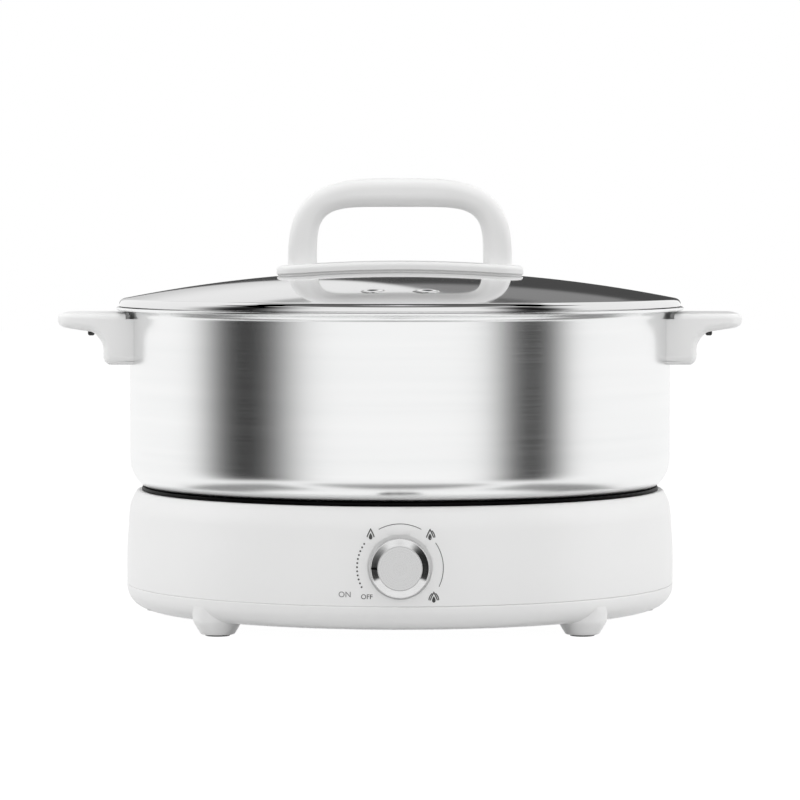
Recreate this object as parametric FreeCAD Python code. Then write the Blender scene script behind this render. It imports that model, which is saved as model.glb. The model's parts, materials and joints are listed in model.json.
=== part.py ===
import FreeCAD, Part
import math
import os

# An electric hot pot: a round heated base with a knob, a steel pot and a lift-off lid.
# Millimetres. The origin is on the table under the centre, +Z is up and -Y is the front.

V = FreeCAD.Vector
UP = V(0, 0, 1)
FIT = 0.3

# The pot, whose radius also sizes the base, the ring, the plate, the lid and the grips
POT_R = 159.5
POT_SHEET = 1.0
POT_HEIGHT = 109.5
POT_CORNER = 20.0
RIM_REACH = 8.0
RIM_NECK = 4.0
RIM_LIP = 1.9
DISC_INSET = 29.5
DISC_R = POT_R - POT_CORNER - DISC_INSET
DISC_THICK = 3.9

# The base housing and its pan
BASE_OVERHANG = 2.0
BASE_R = POT_R + BASE_OVERHANG
WALL = 2.5
FOOT_HEIGHT = 8.0
PAN_DEPTH = 14.0
PAN_CORNER = 13.0
HOUSING_HEIGHT = 54.9
SHOULDER_DROP = 7.9
SHOULDER_INSET = 5.9
LIP_LAND = 10.5
LIP_R = BASE_R - LIP_LAND
LEDGE_DROP = 5.9
LEDGE_WIDTH = 10.0
LEDGE_R = LIP_R - LEDGE_WIDTH
TONGUE_HEIGHT = 3.0
SEAM = 0.5
VENT_COUNT = 20
VENT_R = 72.0
VENT_LENGTH = 30.0
VENT_WIDTH = 3.5
COLUMN_ANGLES = (20, 160, 200, 340)
COLUMN_INSET = 11.5
COLUMN_R = BASE_R - COLUMN_INSET
COLUMN_SIZE = 4.5
COLUMN_SCREW_LENGTH = 18.0
SCREW_SINK = 3.5

# The feet stand on the diagonals
FEET = {"front_left": 225, "front_right": 315, "rear_left": 135, "rear_right": 45}
FOOT_INSET = 15.1
FOOT_CIRCLE_R = BASE_R - FOOT_INSET
FOOT_TOP_R = 13.8
FOOT_TIP_R = 9.6
PAD_R = 7.2
PAD_THICK = 3.0
PAD_PROUD = 1.0
SPIGOT_R = 5.0
SPIGOT_HEIGHT = 4.0

# The black ring between the base and the pot
RING_INSET = 8.9
RING_R = BASE_R - RING_INSET
RING_RISE = 2.0
RING_CREST = 0.9
RING_SKIN = 1.1
RING_FLOOR_INSET = 2.8
RING_FLOOR_R = LEDGE_R - RING_FLOOR_INSET
RING_FLOOR_DROP = 6.9
RING_THICK = 2.5
LAND_RISE = 3.6
LAND_SINK = 1.2
COLLAR_DEPTH = 9.5
COLLAR_GAP = 3.5
REST_ANGLES = (45, 135, 225, 315)
REST_WIDTH = 3.0
REST_GAP = 0.2
RING_SCREW_ANGLES = (75, 165, 255, 345)
RING_SCREW_INSET = 6.5
RING_SCREW_R = LIP_R - RING_SCREW_INSET
RING_SCREW_LENGTH = 9.5

# The cast heating plate, its tube and the pressed shield under them
PLATE_INSET = 67.5
PLATE_R = POT_R - PLATE_INSET
COLLAR_R = PLATE_R + COLLAR_GAP
PLATE_THICK = 5.0
PLATE_DROP = 5.4
SENSOR_R = 14.3
PLATE_HOLE_R = SENSOR_R + 0.7
TUBE_INSET = 24.0
TUBE_RING_R = PLATE_R - TUBE_INSET
TUBE_R = 4.0
TUBE_GAP_ANGLE = 20
TUBE_BEND_R = 10.0
TUBE_LEG = 11.0
RIB_WIDTH = 13.0
RIB_HEIGHT = 8.0
SHIELD_R = PLATE_R + 8.0
SHIELD_DEPTH = 25.0
SHIELD_SHEET = 0.8
SHIELD_FLANGE = 24.0
SHIELD_FLANGE_R = SHIELD_R + SHIELD_FLANGE
SHIELD_HOLE_R = 10.0
SHIELD_SCREW_R = SHIELD_FLANGE_R - 6.0
SHIELD_SCREW_ANGLES = (30, 150, 270)
STUD_CIRCLE_R = PLATE_R - 9.0
STUD_ANGLES = (0, 120, 240)
STUD_R = 2.0
SPACER_R = 3.6
NUT_R = 3.9
NUT_HEIGHT = 3.2

# The sprung sensor in the middle of the plate
SENSOR_WALL = 1.0
SENSOR_HEIGHT = 13.3
SENSOR_GAP = 0.2
BIMETAL_R = 9.0
BIMETAL_HEIGHT = 8.0
GUIDE_WALL = 0.8
GUIDE_FLANGE_R = 22.0
SPRING_R = 7.5
SPRING_TURNS = 4
SPRING_WIRE = 1.2

# The knob and the control behind it
KNOB_Z = 44.0
KNOB_R = 16.5
KNOB_HEIGHT = 11.1
KNOB_GAP = 0.5
KNOB_CAP_R = KNOB_R - 4.2
KNOB_CAP_THICK = 1.0
KNOB_WALL = 2.0
POINTER_LENGTH = 3.2
POINTER_WIDTH = 1.2
RECESS_R = KNOB_R + 1.5
RECESS_DEPTH = 2.1
BOSS_HALF = 31.0
BOSS_HEIGHT = 32.0
BOSS_THICK = 3.9
SHAFT_R = 3.0
SHAFT_LENGTH = 24.0
BUSHING_R = 4.6
CONTROL_WIDTH = 34.0
CONTROL_DEPTH = 22.0
CONTROL_SCREW_X = 25.0
BRACKET_SHEET = 1.2
LAMP_X = -30.6
LAMP_Z = 28.5
LAMP_R = 2.5

# The power inlet at the back
INLET_Z = 46.0
INLET_WIDTH = 46.0
INLET_HEIGHT = 30.0
INLET_FLANGE = 3.0
INLET_PAD_STEP = 1.5
INLET_PAD_Y = BASE_R + INLET_PAD_STEP
INLET_STANDOUT = 8.0
INLET_REACH = INLET_PAD_Y + INLET_STANDOUT
INLET_PAD_THICK = 13.0
INLET_BODY_DEPTH = 25.0
INLET_SCREW_X = INLET_WIDTH / 2 + 5.0
INLET_PAD_HALF = INLET_SCREW_X + 8.0
SOCKET_WALL = 2.5
SOCKET_DEPTH = 20.0
PIN_R = 2.5
PIN_SPREAD = 9.0
PIN_SETBACK = 8.0
PIN_TAIL = 6.0

# The wires
WIRE_R = 1.3
WIRE_REACH = 132.0

# The side handles
HANDLE_REACH = 43.2
HANDLE_TIP_X = POT_R + HANDLE_REACH
HANDLE_THICK = 9.0
HANDLE_DROP = 3.7
HANDLE_HALF = 37.0
HANDLE_TIP_HALF = 33.0
LEG_REACH = 15.9
LEG_X = POT_R + LEG_REACH
LEG_CORNER = 5.2
LEG_DROP = 30.0
LEG_CURVE = 9.0
GRIP_CORNER = 13.0
GRIP_TOP_EDGE = 3.4
GRIP_SLOPE = 4.2
TAB_HALF = 9.0
TAB_SHEET = 2.0
TAB_X = HANDLE_TIP_X - 11.7
TAB_PLATE = 1.5
HANDLE_SCREW_X = LEG_X + 7.4
HANDLE_SCREW_HEAD_R = 2.0

# The lid
DOME_R = 834.0
LID_OVERLAP = 6.5
LID_R = POT_R + LID_OVERLAP
LID_GAP = 0.3
LID_SHEET = 1.0
LID_CORNER = 4.0
LID_EDGE = 0.6
LID_RISE = DOME_R - math.sqrt((DOME_R - LID_CORNER) ** 2 - (LID_R - LID_CORNER) ** 2) + LID_EDGE
SKIRT_GAP = 0.8
SKIRT_R = POT_R - POT_SHEET - SKIRT_GAP
SKIRT_DEPTH = 5.8
VENT_HOLE_R = 1.6
VENT_DISH_R = 12.0
VENT_DISH_DEPTH = 1.5
VENT_X = 15.0
VENT_INSET = 39.0
VENT_Y = VENT_INSET - LID_R

# The arch handle on the lid
ARCH_HALF = 66.8
ARCH_TOP_HALF = ARCH_HALF - 3.6
ARCH_RISE = 55.9
ARCH_CROWN = 0.065
ARCH_CORNER = 32.0
ARCH_BAR = 17.8
ARCH_DEPTH = 24.0
ARCH_INNER_CORNER = 12.0
ARCH_EDGE = 6.0
FLANGE_LENGTH = 2 * (ARCH_HALF + 6.2)
FLANGE_WIDTH = ARCH_DEPTH + 20.0
FLANGE_THICK = 5.3
FLANGE_EDGE = 2.5
GASKET_THICK = 0.6
LID_SCREW_X = ARCH_HALF - 9.3
LID_SCREW_LENGTH = 22.0
WASHER_R = 6.0
WASHER_THICK = 0.8

# Heights that follow from the sizes above
PARTING_Z = FOOT_HEIGHT + PAN_DEPTH
LIP_Z = PARTING_Z + HOUSING_HEIGHT
LEDGE_Z = LIP_Z - LEDGE_DROP
FLOOR_Z = LIP_Z - RING_FLOOR_DROP
PLATE_Z = LIP_Z - PLATE_DROP
PLATE_UNDER_Z = PLATE_Z - PLATE_THICK
RING_UNDER_Z = FLOOR_Z - RING_THICK
SHIELD_FLOOR_Z = RING_UNDER_Z - SHIELD_DEPTH
TUBE_Z = PLATE_UNDER_Z - RIB_HEIGHT + TUBE_R / 2
POT_Z = PLATE_Z + DISC_THICK
RIM_Z = POT_Z + POT_HEIGHT
LID_Z = RIM_Z + LID_GAP
DOME_TOP_Z = LID_Z + LID_RISE
DOME_CENTRE = V(0, 0, DOME_TOP_Z - DOME_R)
SENSOR_Z = PLATE_Z - SENSOR_GAP
HANDLE_Z = RIM_Z - HANDLE_DROP
RECESS_Y = -BASE_R + RECESS_DEPTH


def xz(a, b):
    return V(a, 0, b)


def xy(a, b):
    return V(a, b, 0)


def polar(radius, degrees, height=0.0):
    turn = math.radians(degrees)
    return V(radius * math.cos(turn), radius * math.sin(turn), height)


def rounded(corners, plane=xz):
    """A closed outline through (a, b, radius) corners, each rounded by a tangent arc."""
    points = [plane(a, b) for a, b, radius in corners]
    trims = []
    for i, (a, b, radius) in enumerate(corners):
        back = (points[i - 1] - points[i]).normalize()
        ahead = (points[(i + 1) % len(points)] - points[i]).normalize()
        half = back.getAngle(ahead) / 2
        trim = radius / math.tan(half)
        inward = (back + ahead).normalize() * (radius / math.sin(half) - radius)
        trims.append((points[i] + back * trim, points[i] + inward, points[i] + ahead * trim))
    edges = []
    for i, (start, middle, end) in enumerate(trims):
        if corners[i][2] > 0:
            edges.append(Part.Arc(start, middle, end).toShape())
        following = trims[(i + 1) % len(trims)][0]
        if (following - end).Length > 1e-6:
            edges.append(Part.LineSegment(end, following).toShape())
    return Part.Face(Part.Wire(edges))


def revolved(corners):
    return rounded(corners).revolve(V(0, 0, 0), UP, 360)


def prism(corners, z_low, z_high):
    """A flat outline in plan, drawn up from one height to another."""
    face = rounded(corners, xy)
    face.translate(UP * z_low)
    return face.extrude(UP * (z_high - z_low))


def across(corners, half_depth):
    """An outline seen from the front, drawn back through both sides of Y = 0."""
    face = rounded(corners)
    face.translate(V(0, -half_depth, 0))
    return face.extrude(V(0, 2 * half_depth, 0))


def box(x_low, x_high, y_low, y_high, z_low, z_high):
    return Part.makeBox(x_high - x_low, y_high - y_low, z_high - z_low, V(x_low, y_low, z_low))


def post(place, radius, height):
    return Part.makeCylinder(radius, height, place)


def rod_y(x, y_low, y_high, z, radius):
    return Part.makeCylinder(radius, y_high - y_low, V(x, y_low, z), V(0, 1, 0))


def fused(shapes):
    return shapes[0].multiFuse(shapes[1:]).removeSplitter()


def mirrored(shape):
    return shape.mirror(V(0, 0, 0), V(1, 0, 0))


def group(shapes):
    return Part.makeCompound(shapes)


def screw(head_r, head_height, shank_r, shank_length):
    """A pan-head screw pointing up: the head's seat is at the origin, with a cross in its face."""
    head = rounded([(0, -head_height, 0), (head_r, -head_height, head_height * 0.45),
                    (head_r, 0, 0), (0, 0, 0)]).revolve(V(0, 0, 0), UP, 360)
    shank = Part.makeCylinder(shank_r, shank_length)
    slot = head_r * 0.6
    depth = head_height * 0.5
    for turn in (0, 90):
        bar = Part.makeBox(2 * slot, slot * 0.4, depth, V(-slot, -slot * 0.2, -head_height))
        bar.rotate(V(0, 0, 0), UP, turn)
        head = head.cut(bar)
    return head.fuse(shank).removeSplitter()


def placed(shape, place, axis=UP, degrees=0.0):
    moved = shape.copy()
    moved.rotate(V(0, 0, 0), axis, degrees)
    moved.translate(place)
    return moved


def tube(points, radius):
    """A round tube along straight runs joined by tangent arcs as large as the runs allow."""
    edges = []
    start = points[0]
    for before, here, after in zip(points, points[1:], points[2:]):
        back = (before - here).normalize()
        ahead = (after - here).normalize()
        half = back.getAngle(ahead) / 2
        trim = 0.45 * min((before - here).Length, (after - here).Length)
        bend = trim * math.tan(half)
        middle = here + (back + ahead).normalize() * (bend / math.sin(half) - bend)
        edges.append(Part.LineSegment(start, here + back * trim).toShape())
        edges.append(Part.Arc(here + back * trim, middle, here + ahead * trim).toShape())
        start = here + ahead * trim
    edges.append(Part.LineSegment(start, points[-1]).toShape())
    section = Part.Wire(Part.makeCircle(radius, points[0], points[1] - points[0]))
    return Part.Wire(edges).makePipeShell([section], True, False)


def dome(offset):
    """The ball whose top is the lid's dome, grown or shrunk by an offset."""
    return Part.makeSphere(DOME_R + offset, DOME_CENTRE)


# Base pan and feet

def pan_outline(grow=0.0):
    return [(0, FOOT_HEIGHT, 0), (BASE_R + grow, FOOT_HEIGHT, PAN_CORNER),
            (BASE_R + grow, PARTING_Z, SEAM)]


def base_pan():
    inner = BASE_R - WALL - FIT
    tongue = inner - WALL
    floor = FOOT_HEIGHT + WALL
    outline = pan_outline() + [(inner, PARTING_Z, 0), (inner, PARTING_Z + TONGUE_HEIGHT, 0),
                               (tongue, PARTING_Z + TONGUE_HEIGHT, 0),
                               (tongue, floor, 8.0), (0, floor, 0)]
    pan = revolved(outline)
    bosses = [post(polar(COLUMN_R, angle, floor - 1), COLUMN_SIZE + 1.5, 5) for angle in COLUMN_ANGLES]
    bosses += [post(polar(FOOT_CIRCLE_R, angle, floor - 1), SPIGOT_R + 3, 5) for angle in FEET.values()]
    pan = fused([pan] + bosses)
    cuts = []
    for angle in COLUMN_ANGLES:
        cuts.append(post(polar(COLUMN_R, angle, FOOT_HEIGHT - 1), COLUMN_SIZE - 0.3, 1 + SCREW_SINK))
        cuts.append(post(polar(COLUMN_R, angle, FOOT_HEIGHT), 1.8, 10))
    for angle in FEET.values():
        cuts.append(post(polar(FOOT_CIRCLE_R, angle, FOOT_HEIGHT - 1), SPIGOT_R + 0.1, 12))
    for i in range(VENT_COUNT):
        slot = prism([(VENT_R - VENT_LENGTH / 2, -VENT_WIDTH / 2, 0), (VENT_R + VENT_LENGTH / 2, -VENT_WIDTH / 2, 0),
                      (VENT_R + VENT_LENGTH / 2, VENT_WIDTH / 2, 0), (VENT_R - VENT_LENGTH / 2, VENT_WIDTH / 2, 0)],
                     FOOT_HEIGHT - 1, floor + 1)
        slot.rotate(V(0, 0, 0), UP, (i + 0.5) * 360 / VENT_COUNT)
        cuts.append(slot)
    return pan.cut(cuts)


def foot(angle):
    """A tapered foot whose top follows the pan's rounded edge, with a spigot up through the pan."""
    top = FOOT_HEIGHT + PAN_CORNER
    flare = FOOT_TOP_R + (FOOT_TOP_R - FOOT_TIP_R) * PAN_CORNER / FOOT_HEIGHT * 0.25
    cone = revolved([(0, PAD_PROUD, 0), (FOOT_TIP_R, PAD_PROUD, 1.2), (FOOT_TOP_R, FOOT_HEIGHT, 0),
                     (flare, top, 0), (0, top, 0)])
    cone.translate(polar(FOOT_CIRCLE_R, angle))
    pan = revolved([(0, FOOT_HEIGHT, 0), (BASE_R, FOOT_HEIGHT, PAN_CORNER), (BASE_R, top + 5, 0),
                    (BASE_R + 40, top + 5, 0), (BASE_R + 40, top + 6, 0), (0, top + 6, 0)])
    body = cone.cut(pan).common(Part.makeCylinder(BASE_R - 0.5, top))
    spigot = post(polar(FOOT_CIRCLE_R, angle, FOOT_HEIGHT), SPIGOT_R, SPIGOT_HEIGHT)
    pocket = post(polar(FOOT_CIRCLE_R, angle), PAD_R, PAD_THICK)
    return body.fuse(spigot).cut(pocket)


def foot_pad(angle):
    pad = revolved([(0, 0, 0), (PAD_R, 0, 0.8), (PAD_R, PAD_THICK, 0), (0, PAD_THICK, 0)])
    pad.translate(polar(FOOT_CIRCLE_R, angle))
    return pad


def base_screws():
    one = screw(3.6, 2.2, 1.5, COLUMN_SCREW_LENGTH)
    seat = FOOT_HEIGHT + SCREW_SINK
    return group([placed(one, polar(COLUMN_R, angle, seat)) for angle in COLUMN_ANGLES])


# Base housing

def housing_shell():
    inner = BASE_R - WALL
    bend = LIP_Z - SHOULDER_DROP
    outline = [(BASE_R, PARTING_Z, SEAM), (BASE_R, PARTING_Z + 20, 120), (BASE_R - 1.8, bend, 22),
               (BASE_R - SHOULDER_INSET, LIP_Z, 2.5), (LIP_R, LIP_Z, 0.6), (LIP_R, LEDGE_Z, 0),
               (LEDGE_R, LEDGE_Z, 0), (LEDGE_R, LEDGE_Z - WALL, 0), (inner - 1.8, LEDGE_Z - WALL, 2),
               (inner, PARTING_Z + 20, 120), (inner, PARTING_Z, 0)]
    return revolved(outline)


def inside_wall(shape):
    """What of a boss lies inside the housing's outer face."""
    return shape.common(Part.makeCylinder(BASE_R - 1, LIP_Z - SHOULDER_DROP - 4))


def base_housing():
    column_base = FOOT_HEIGHT + WALL + 4
    solids = [housing_shell()]
    for angle in COLUMN_ANGLES:
        solids.append(post(polar(COLUMN_R, angle, column_base), COLUMN_SIZE, LEDGE_Z - 1 - column_base))
    for angle in RING_SCREW_ANGLES:
        solids.append(post(polar(RING_SCREW_R, angle, LEDGE_Z - 11), 3.4, 10))
    knob_boss = box(-BOSS_HALF, BOSS_HALF, -BASE_R, RECESS_Y + BOSS_THICK,
                    KNOB_Z - BOSS_HEIGHT / 2, KNOB_Z + BOSS_HEIGHT / 2)
    solids.append(inside_wall(knob_boss))
    solids.append(box(-INLET_PAD_HALF, INLET_PAD_HALF, INLET_PAD_Y - INLET_PAD_THICK, INLET_PAD_Y,
                      INLET_Z - INLET_HEIGHT / 2 - 4, INLET_Z + INLET_HEIGHT / 2 + 4))
    shell = fused(solids)
    cuts = [rod_y(0, -BASE_R - 1, RECESS_Y, KNOB_Z, RECESS_R)]
    cuts.append(rod_y(0, -BASE_R, -BASE_R + 20, KNOB_Z, BUSHING_R + 0.2))
    for side in (-1, 1):
        cuts.append(rod_y(side * CONTROL_SCREW_X, RECESS_Y + 0.8, RECESS_Y + 20, KNOB_Z, 1.1))
        cuts.append(rod_y(side * INLET_SCREW_X, INLET_PAD_Y - 11, INLET_PAD_Y, INLET_Z, 1.6))
    half = INLET_WIDTH / 2 + FIT
    rise = INLET_HEIGHT / 2 + FIT
    cuts.append(box(-half, half, INLET_PAD_Y - 20, INLET_PAD_Y + 1, INLET_Z - rise, INLET_Z + rise))
    for angle in COLUMN_ANGLES:
        cuts.append(post(polar(COLUMN_R, angle, column_base), 1.6, 18))
    for angle in RING_SCREW_ANGLES:
        cuts.append(post(polar(RING_SCREW_R, angle, LEDGE_Z - 9), 1.3, 10))
    return shell.cut(cuts)


# The black ring

def around_pot(gap):
    """The room that the pot takes, with a gap all round it."""
    reach = POT_R + gap
    low = POT_Z - gap
    return revolved([(0, low, 0), (reach, low, POT_CORNER + gap), (reach, LIP_Z + 40, 0), (0, LIP_Z + 40, 0)])


def pot_rest(angle):
    """A small rib on the ring that steadies the pot, cut to follow its rounded lower edge."""
    rib = box(LIP_R - 1, RING_R - 1, -REST_WIDTH / 2, REST_WIDTH / 2, LIP_Z + 0.1, LIP_Z + 4)
    rib = rib.cut(around_pot(REST_GAP))
    rib.rotate(V(0, 0, 0), UP, angle)
    return rib


def support_ring():
    top = LIP_Z + RING_RISE
    land = FLOOR_Z + LAND_RISE
    outline = [(RING_R, LIP_Z, 0), (RING_R, top, 0.8), (RING_R - RING_CREST, top, 0), (LIP_R - FIT - RING_SKIN, LIP_Z, 0),
               (RING_FLOOR_R + 1.8, land, 1.2), (RING_FLOOR_R, FLOOR_Z, 1.2), (COLLAR_R, FLOOR_Z, 0.8),
               (COLLAR_R, FLOOR_Z - COLLAR_DEPTH, 0), (COLLAR_R + 2, FLOOR_Z - COLLAR_DEPTH, 0),
               (COLLAR_R + 2, RING_UNDER_Z, 0), (RING_FLOOR_R + 1.6, RING_UNDER_Z, 1),
               (RING_FLOOR_R + 2.3, LEDGE_Z + FIT, 0), (LIP_R - FIT, LEDGE_Z + FIT, 0), (LIP_R - FIT, LIP_Z, 0)]
    ring = revolved(outline)
    solids = [ring]
    for angle in SHIELD_SCREW_ANGLES:
        solids.append(post(polar(SHIELD_SCREW_R, angle, FLOOR_Z - 1), 4, 4.5))
    for angle in REST_ANGLES:
        solids.append(pot_rest(angle))
    ring = fused(solids)
    cuts = []
    for angle in SHIELD_SCREW_ANGLES:
        cuts.append(post(polar(SHIELD_SCREW_R, angle, RING_UNDER_Z - 1), 1.4, 5.5))
    for angle in RING_SCREW_ANGLES:
        cuts.append(post(polar(RING_SCREW_R, angle, LEDGE_Z - 1), 1.6, 12))
        cuts.append(post(polar(RING_SCREW_R, angle, land - LAND_SINK), 3.0, 5))
    return ring.cut(cuts)


def ring_screws():
    one = placed(screw(2.8, 1.5, 1.3, RING_SCREW_LENGTH), V(0, 0, 0), V(1, 0, 0), 180)
    seat = FLOOR_Z + LAND_RISE - LAND_SINK
    return group([placed(one, polar(RING_SCREW_R, angle, seat)) for angle in RING_SCREW_ANGLES])


# Heating plate, tube, shield and what holds them

def tube_end(side):
    return polar(TUBE_RING_R, 90 - side * TUBE_GAP_ANGLE, TUBE_Z)


def tube_leg(side):
    """Where the tube's upright leg stands, past the bend at one end of its ring."""
    end = tube_end(side)
    along = V(-end.y, end.x, 0).normalize() * side
    return end + along * TUBE_BEND_R


def heating_tube():
    first = tube_end(1)
    last = tube_end(-1)
    edges = []
    for side in (1, -1):
        end = tube_end(side)
        leg = tube_leg(side) - UP * TUBE_BEND_R
        centre = end - UP * TUBE_BEND_R
        middle = centre + ((end - centre).normalize() + (leg - centre).normalize()).normalize() * TUBE_BEND_R
        bend = Part.Arc(end, middle, leg).toShape()
        run = Part.LineSegment(leg, leg - UP * TUBE_LEG).toShape()
        edges += [bend, run]
    edges.append(Part.Arc(first, V(0, -TUBE_RING_R, TUBE_Z), last).toShape())
    path = Part.Wire(Part.__sortEdges__(edges))
    start = tube_leg(1) - UP * (TUBE_BEND_R + TUBE_LEG)
    if (path.OrderedVertexes[0].Point - start).Length > 1:
        start = tube_leg(-1) - UP * (TUBE_BEND_R + TUBE_LEG)
    section = Part.Wire(Part.makeCircle(TUBE_R, start, UP))
    return path.makePipeShell([section], True, False)


def element_terminals():
    pins = []
    for side in (1, -1):
        foot_of_leg = tube_leg(side) - UP * (TUBE_BEND_R + TUBE_LEG)
        sleeve = post(foot_of_leg - UP * 5, 3.0, 5)
        pin = post(foot_of_leg - UP * 12, 1.5, 7)
        pins.append(sleeve.fuse(pin))
    return group(pins)


def heating_plate(coil):
    """A cast disc with a deep rib under it that holds the tube, and pads for its studs."""
    rib_in = TUBE_RING_R - RIB_WIDTH / 2
    rib_out = TUBE_RING_R + RIB_WIDTH / 2
    rib_z = PLATE_UNDER_Z - RIB_HEIGHT
    plate = revolved([(PLATE_HOLE_R, PLATE_Z, 0.5), (PLATE_R, PLATE_Z, 1.0), (PLATE_R, PLATE_UNDER_Z, 0),
                      (rib_out + 2, PLATE_UNDER_Z, 0), (rib_out, rib_z, 1.0), (rib_in, rib_z, 1.0),
                      (rib_in - 2, PLATE_UNDER_Z, 0), (PLATE_HOLE_R, PLATE_UNDER_Z, 0)])
    pads = [post(polar(STUD_CIRCLE_R, angle, PLATE_UNDER_Z - 2), 5.5, 3) for angle in STUD_ANGLES]
    holes = [post(polar(STUD_CIRCLE_R, angle, PLATE_UNDER_Z - 3), STUD_R, 5.5) for angle in STUD_ANGLES]
    return fused([plate] + pads).cut(holes + [coil])


def heat_shield():
    floor = SHIELD_FLOOR_Z
    inner = SHIELD_R - 1.2
    top = RING_UNDER_Z
    sheet = SHIELD_SHEET
    bowl = revolved([(SHIELD_HOLE_R, floor, 0), (inner - 0.6, floor, 4), (inner, top, 2),
                     (SHIELD_FLANGE_R, top, 0), (SHIELD_FLANGE_R, top - sheet, 0),
                     (inner + sheet, top - sheet, 1.2), (inner - 0.6 + sheet, floor - sheet, 4.8),
                     (SHIELD_HOLE_R, floor - sheet, 0)])
    cuts = [post(polar(SHIELD_SCREW_R, angle, top - 2), 1.7, 4) for angle in SHIELD_SCREW_ANGLES]
    cuts += [post(polar(STUD_CIRCLE_R, angle, floor - 2), STUD_R + 0.1, 4) for angle in STUD_ANGLES]
    for side in (1, -1):
        place = tube_leg(side)
        cuts.append(post(V(place.x, place.y, floor - 2), TUBE_R + 1, 4))
    return bowl.cut(cuts)


def shield_screws():
    one = screw(3.0, 2.0, 1.4, 5.0)
    seat = RING_UNDER_Z - SHIELD_SHEET
    return group([placed(one, polar(SHIELD_SCREW_R, angle, seat)) for angle in SHIELD_SCREW_ANGLES])


def plate_studs():
    top = PLATE_UNDER_Z + 2.5
    low = SHIELD_FLOOR_Z - SHIELD_SHEET - NUT_HEIGHT - 2
    return group([post(polar(STUD_CIRCLE_R, angle, low), STUD_R, top - low) for angle in STUD_ANGLES])


def plate_spacers():
    top = PLATE_UNDER_Z - 2
    solids = []
    for angle in STUD_ANGLES:
        outer = post(polar(STUD_CIRCLE_R, angle, SHIELD_FLOOR_Z), SPACER_R, top - SHIELD_FLOOR_Z)
        solids.append(outer.cut(post(polar(STUD_CIRCLE_R, angle, SHIELD_FLOOR_Z), STUD_R, 60)))
    return group(solids)


def plate_nuts():
    solids = []
    for angle in STUD_ANGLES:
        centre = polar(STUD_CIRCLE_R, angle)
        corners = [(centre.x + NUT_R * math.cos(math.radians(60 * i)),
                    centre.y + NUT_R * math.sin(math.radians(60 * i)), 0) for i in range(6)]
        top = SHIELD_FLOOR_Z - SHIELD_SHEET
        nut = prism(corners, top - NUT_HEIGHT, top)
        solids.append(nut.cut(post(centre, STUD_R, 100)))
    return group(solids)


def thermal_cutout():
    """A sealed fuse clamped flat against the underside of the plate."""
    body = box(-36, -26, -10, 10, PLATE_UNDER_Z - 6, PLATE_UNDER_Z)
    tabs = box(-34, -28, -16, 16, PLATE_UNDER_Z - 4, PLATE_UNDER_Z - 3.2)
    return body.fuse(tabs)


# The sprung sensor

def sensor_cup():
    low = SENSOR_Z - SENSOR_HEIGHT
    skirt = SENSOR_R - SENSOR_WALL
    lid = SENSOR_Z - SENSOR_WALL * 1.4
    return revolved([(0, SENSOR_Z, 0), (SENSOR_R, SENSOR_Z, 1.2), (SENSOR_R, low, 0), (skirt, low, 0),
                     (skirt, lid, 0), (0, lid, 0)])


def sensor_bimetal():
    top = SENSOR_Z - SENSOR_WALL * 1.4
    return post(V(0, 0, top - BIMETAL_HEIGHT), BIMETAL_R, BIMETAL_HEIGHT)


def guide_radius():
    return SENSOR_R - SENSOR_WALL - FIT


def sensor_guide():
    """A flanged tube on the shield that the sensor's skirt slides over."""
    floor = SHIELD_FLOOR_Z
    outer = guide_radius()
    top = SENSOR_Z - SENSOR_HEIGHT + 7
    return revolved([(3, floor, 0), (GUIDE_FLANGE_R, floor, 0), (GUIDE_FLANGE_R, floor + GUIDE_WALL, 0),
                     (outer, floor + GUIDE_WALL, 0), (outer, top, 0), (outer - GUIDE_WALL, top, 0),
                     (outer - GUIDE_WALL, floor + GUIDE_WALL, 0), (3, floor + GUIDE_WALL, 0)])


def sensor_spring():
    """A coil of flat-sided wire between the guide's floor and the sensor, in quarter turns."""
    low = SHIELD_FLOOR_Z + GUIDE_WALL + SPRING_WIRE
    high = SENSOR_Z - SENSOR_WALL * 1.4 - BIMETAL_HEIGHT - SPRING_WIRE
    quarters = 4 * SPRING_TURNS

    def on_coil(step):
        return polar(SPRING_R, 90 * step, low + (high - low) * step / quarters)

    edges = [Part.Arc(on_coil(i), on_coil(i + 0.5), on_coil(i + 1)).toShape() for i in range(quarters)]
    half = SPRING_WIRE / 2
    section = Part.makePolygon([V(SPRING_R - half, 0, low - half), V(SPRING_R + half, 0, low - half),
                                V(SPRING_R + half, 0, low + half), V(SPRING_R - half, 0, low + half),
                                V(SPRING_R - half, 0, low - half)])
    return Part.Wire(edges).makePipeShell([section], True, False)


# Knob and control

def to_front(shape, back_y):
    """Turns a shape built up +Z so that it points out of the front, from back_y at the knob's axis."""
    return placed(shape, V(0, back_y, KNOB_Z), V(1, 0, 0), 90)


def pointer_slot(grow):
    ring = (KNOB_CAP_R + KNOB_R) / 2
    half = POINTER_LENGTH / 2 + grow
    width = POINTER_WIDTH / 2 + grow
    return box(-ring - half, -ring + half, -width, width, KNOB_HEIGHT - 2.2, KNOB_HEIGHT + 1)


def knob_ring():
    """The knob's turned outline, with its polished bevel between the rim and the cap."""
    cap_floor = KNOB_HEIGHT - 0.2 - KNOB_CAP_THICK
    return revolved([(0, 2, 0), (KNOB_R - KNOB_WALL, 2, 0), (KNOB_R - KNOB_WALL, 0, 0), (KNOB_R, 0, 0.5),
                     (KNOB_R - 0.3, KNOB_HEIGHT - 1.4, 0.8), (KNOB_CAP_R + 0.2, KNOB_HEIGHT, 0.3),
                     (KNOB_CAP_R, cap_floor, 0), (0, cap_floor, 0)])


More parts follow.
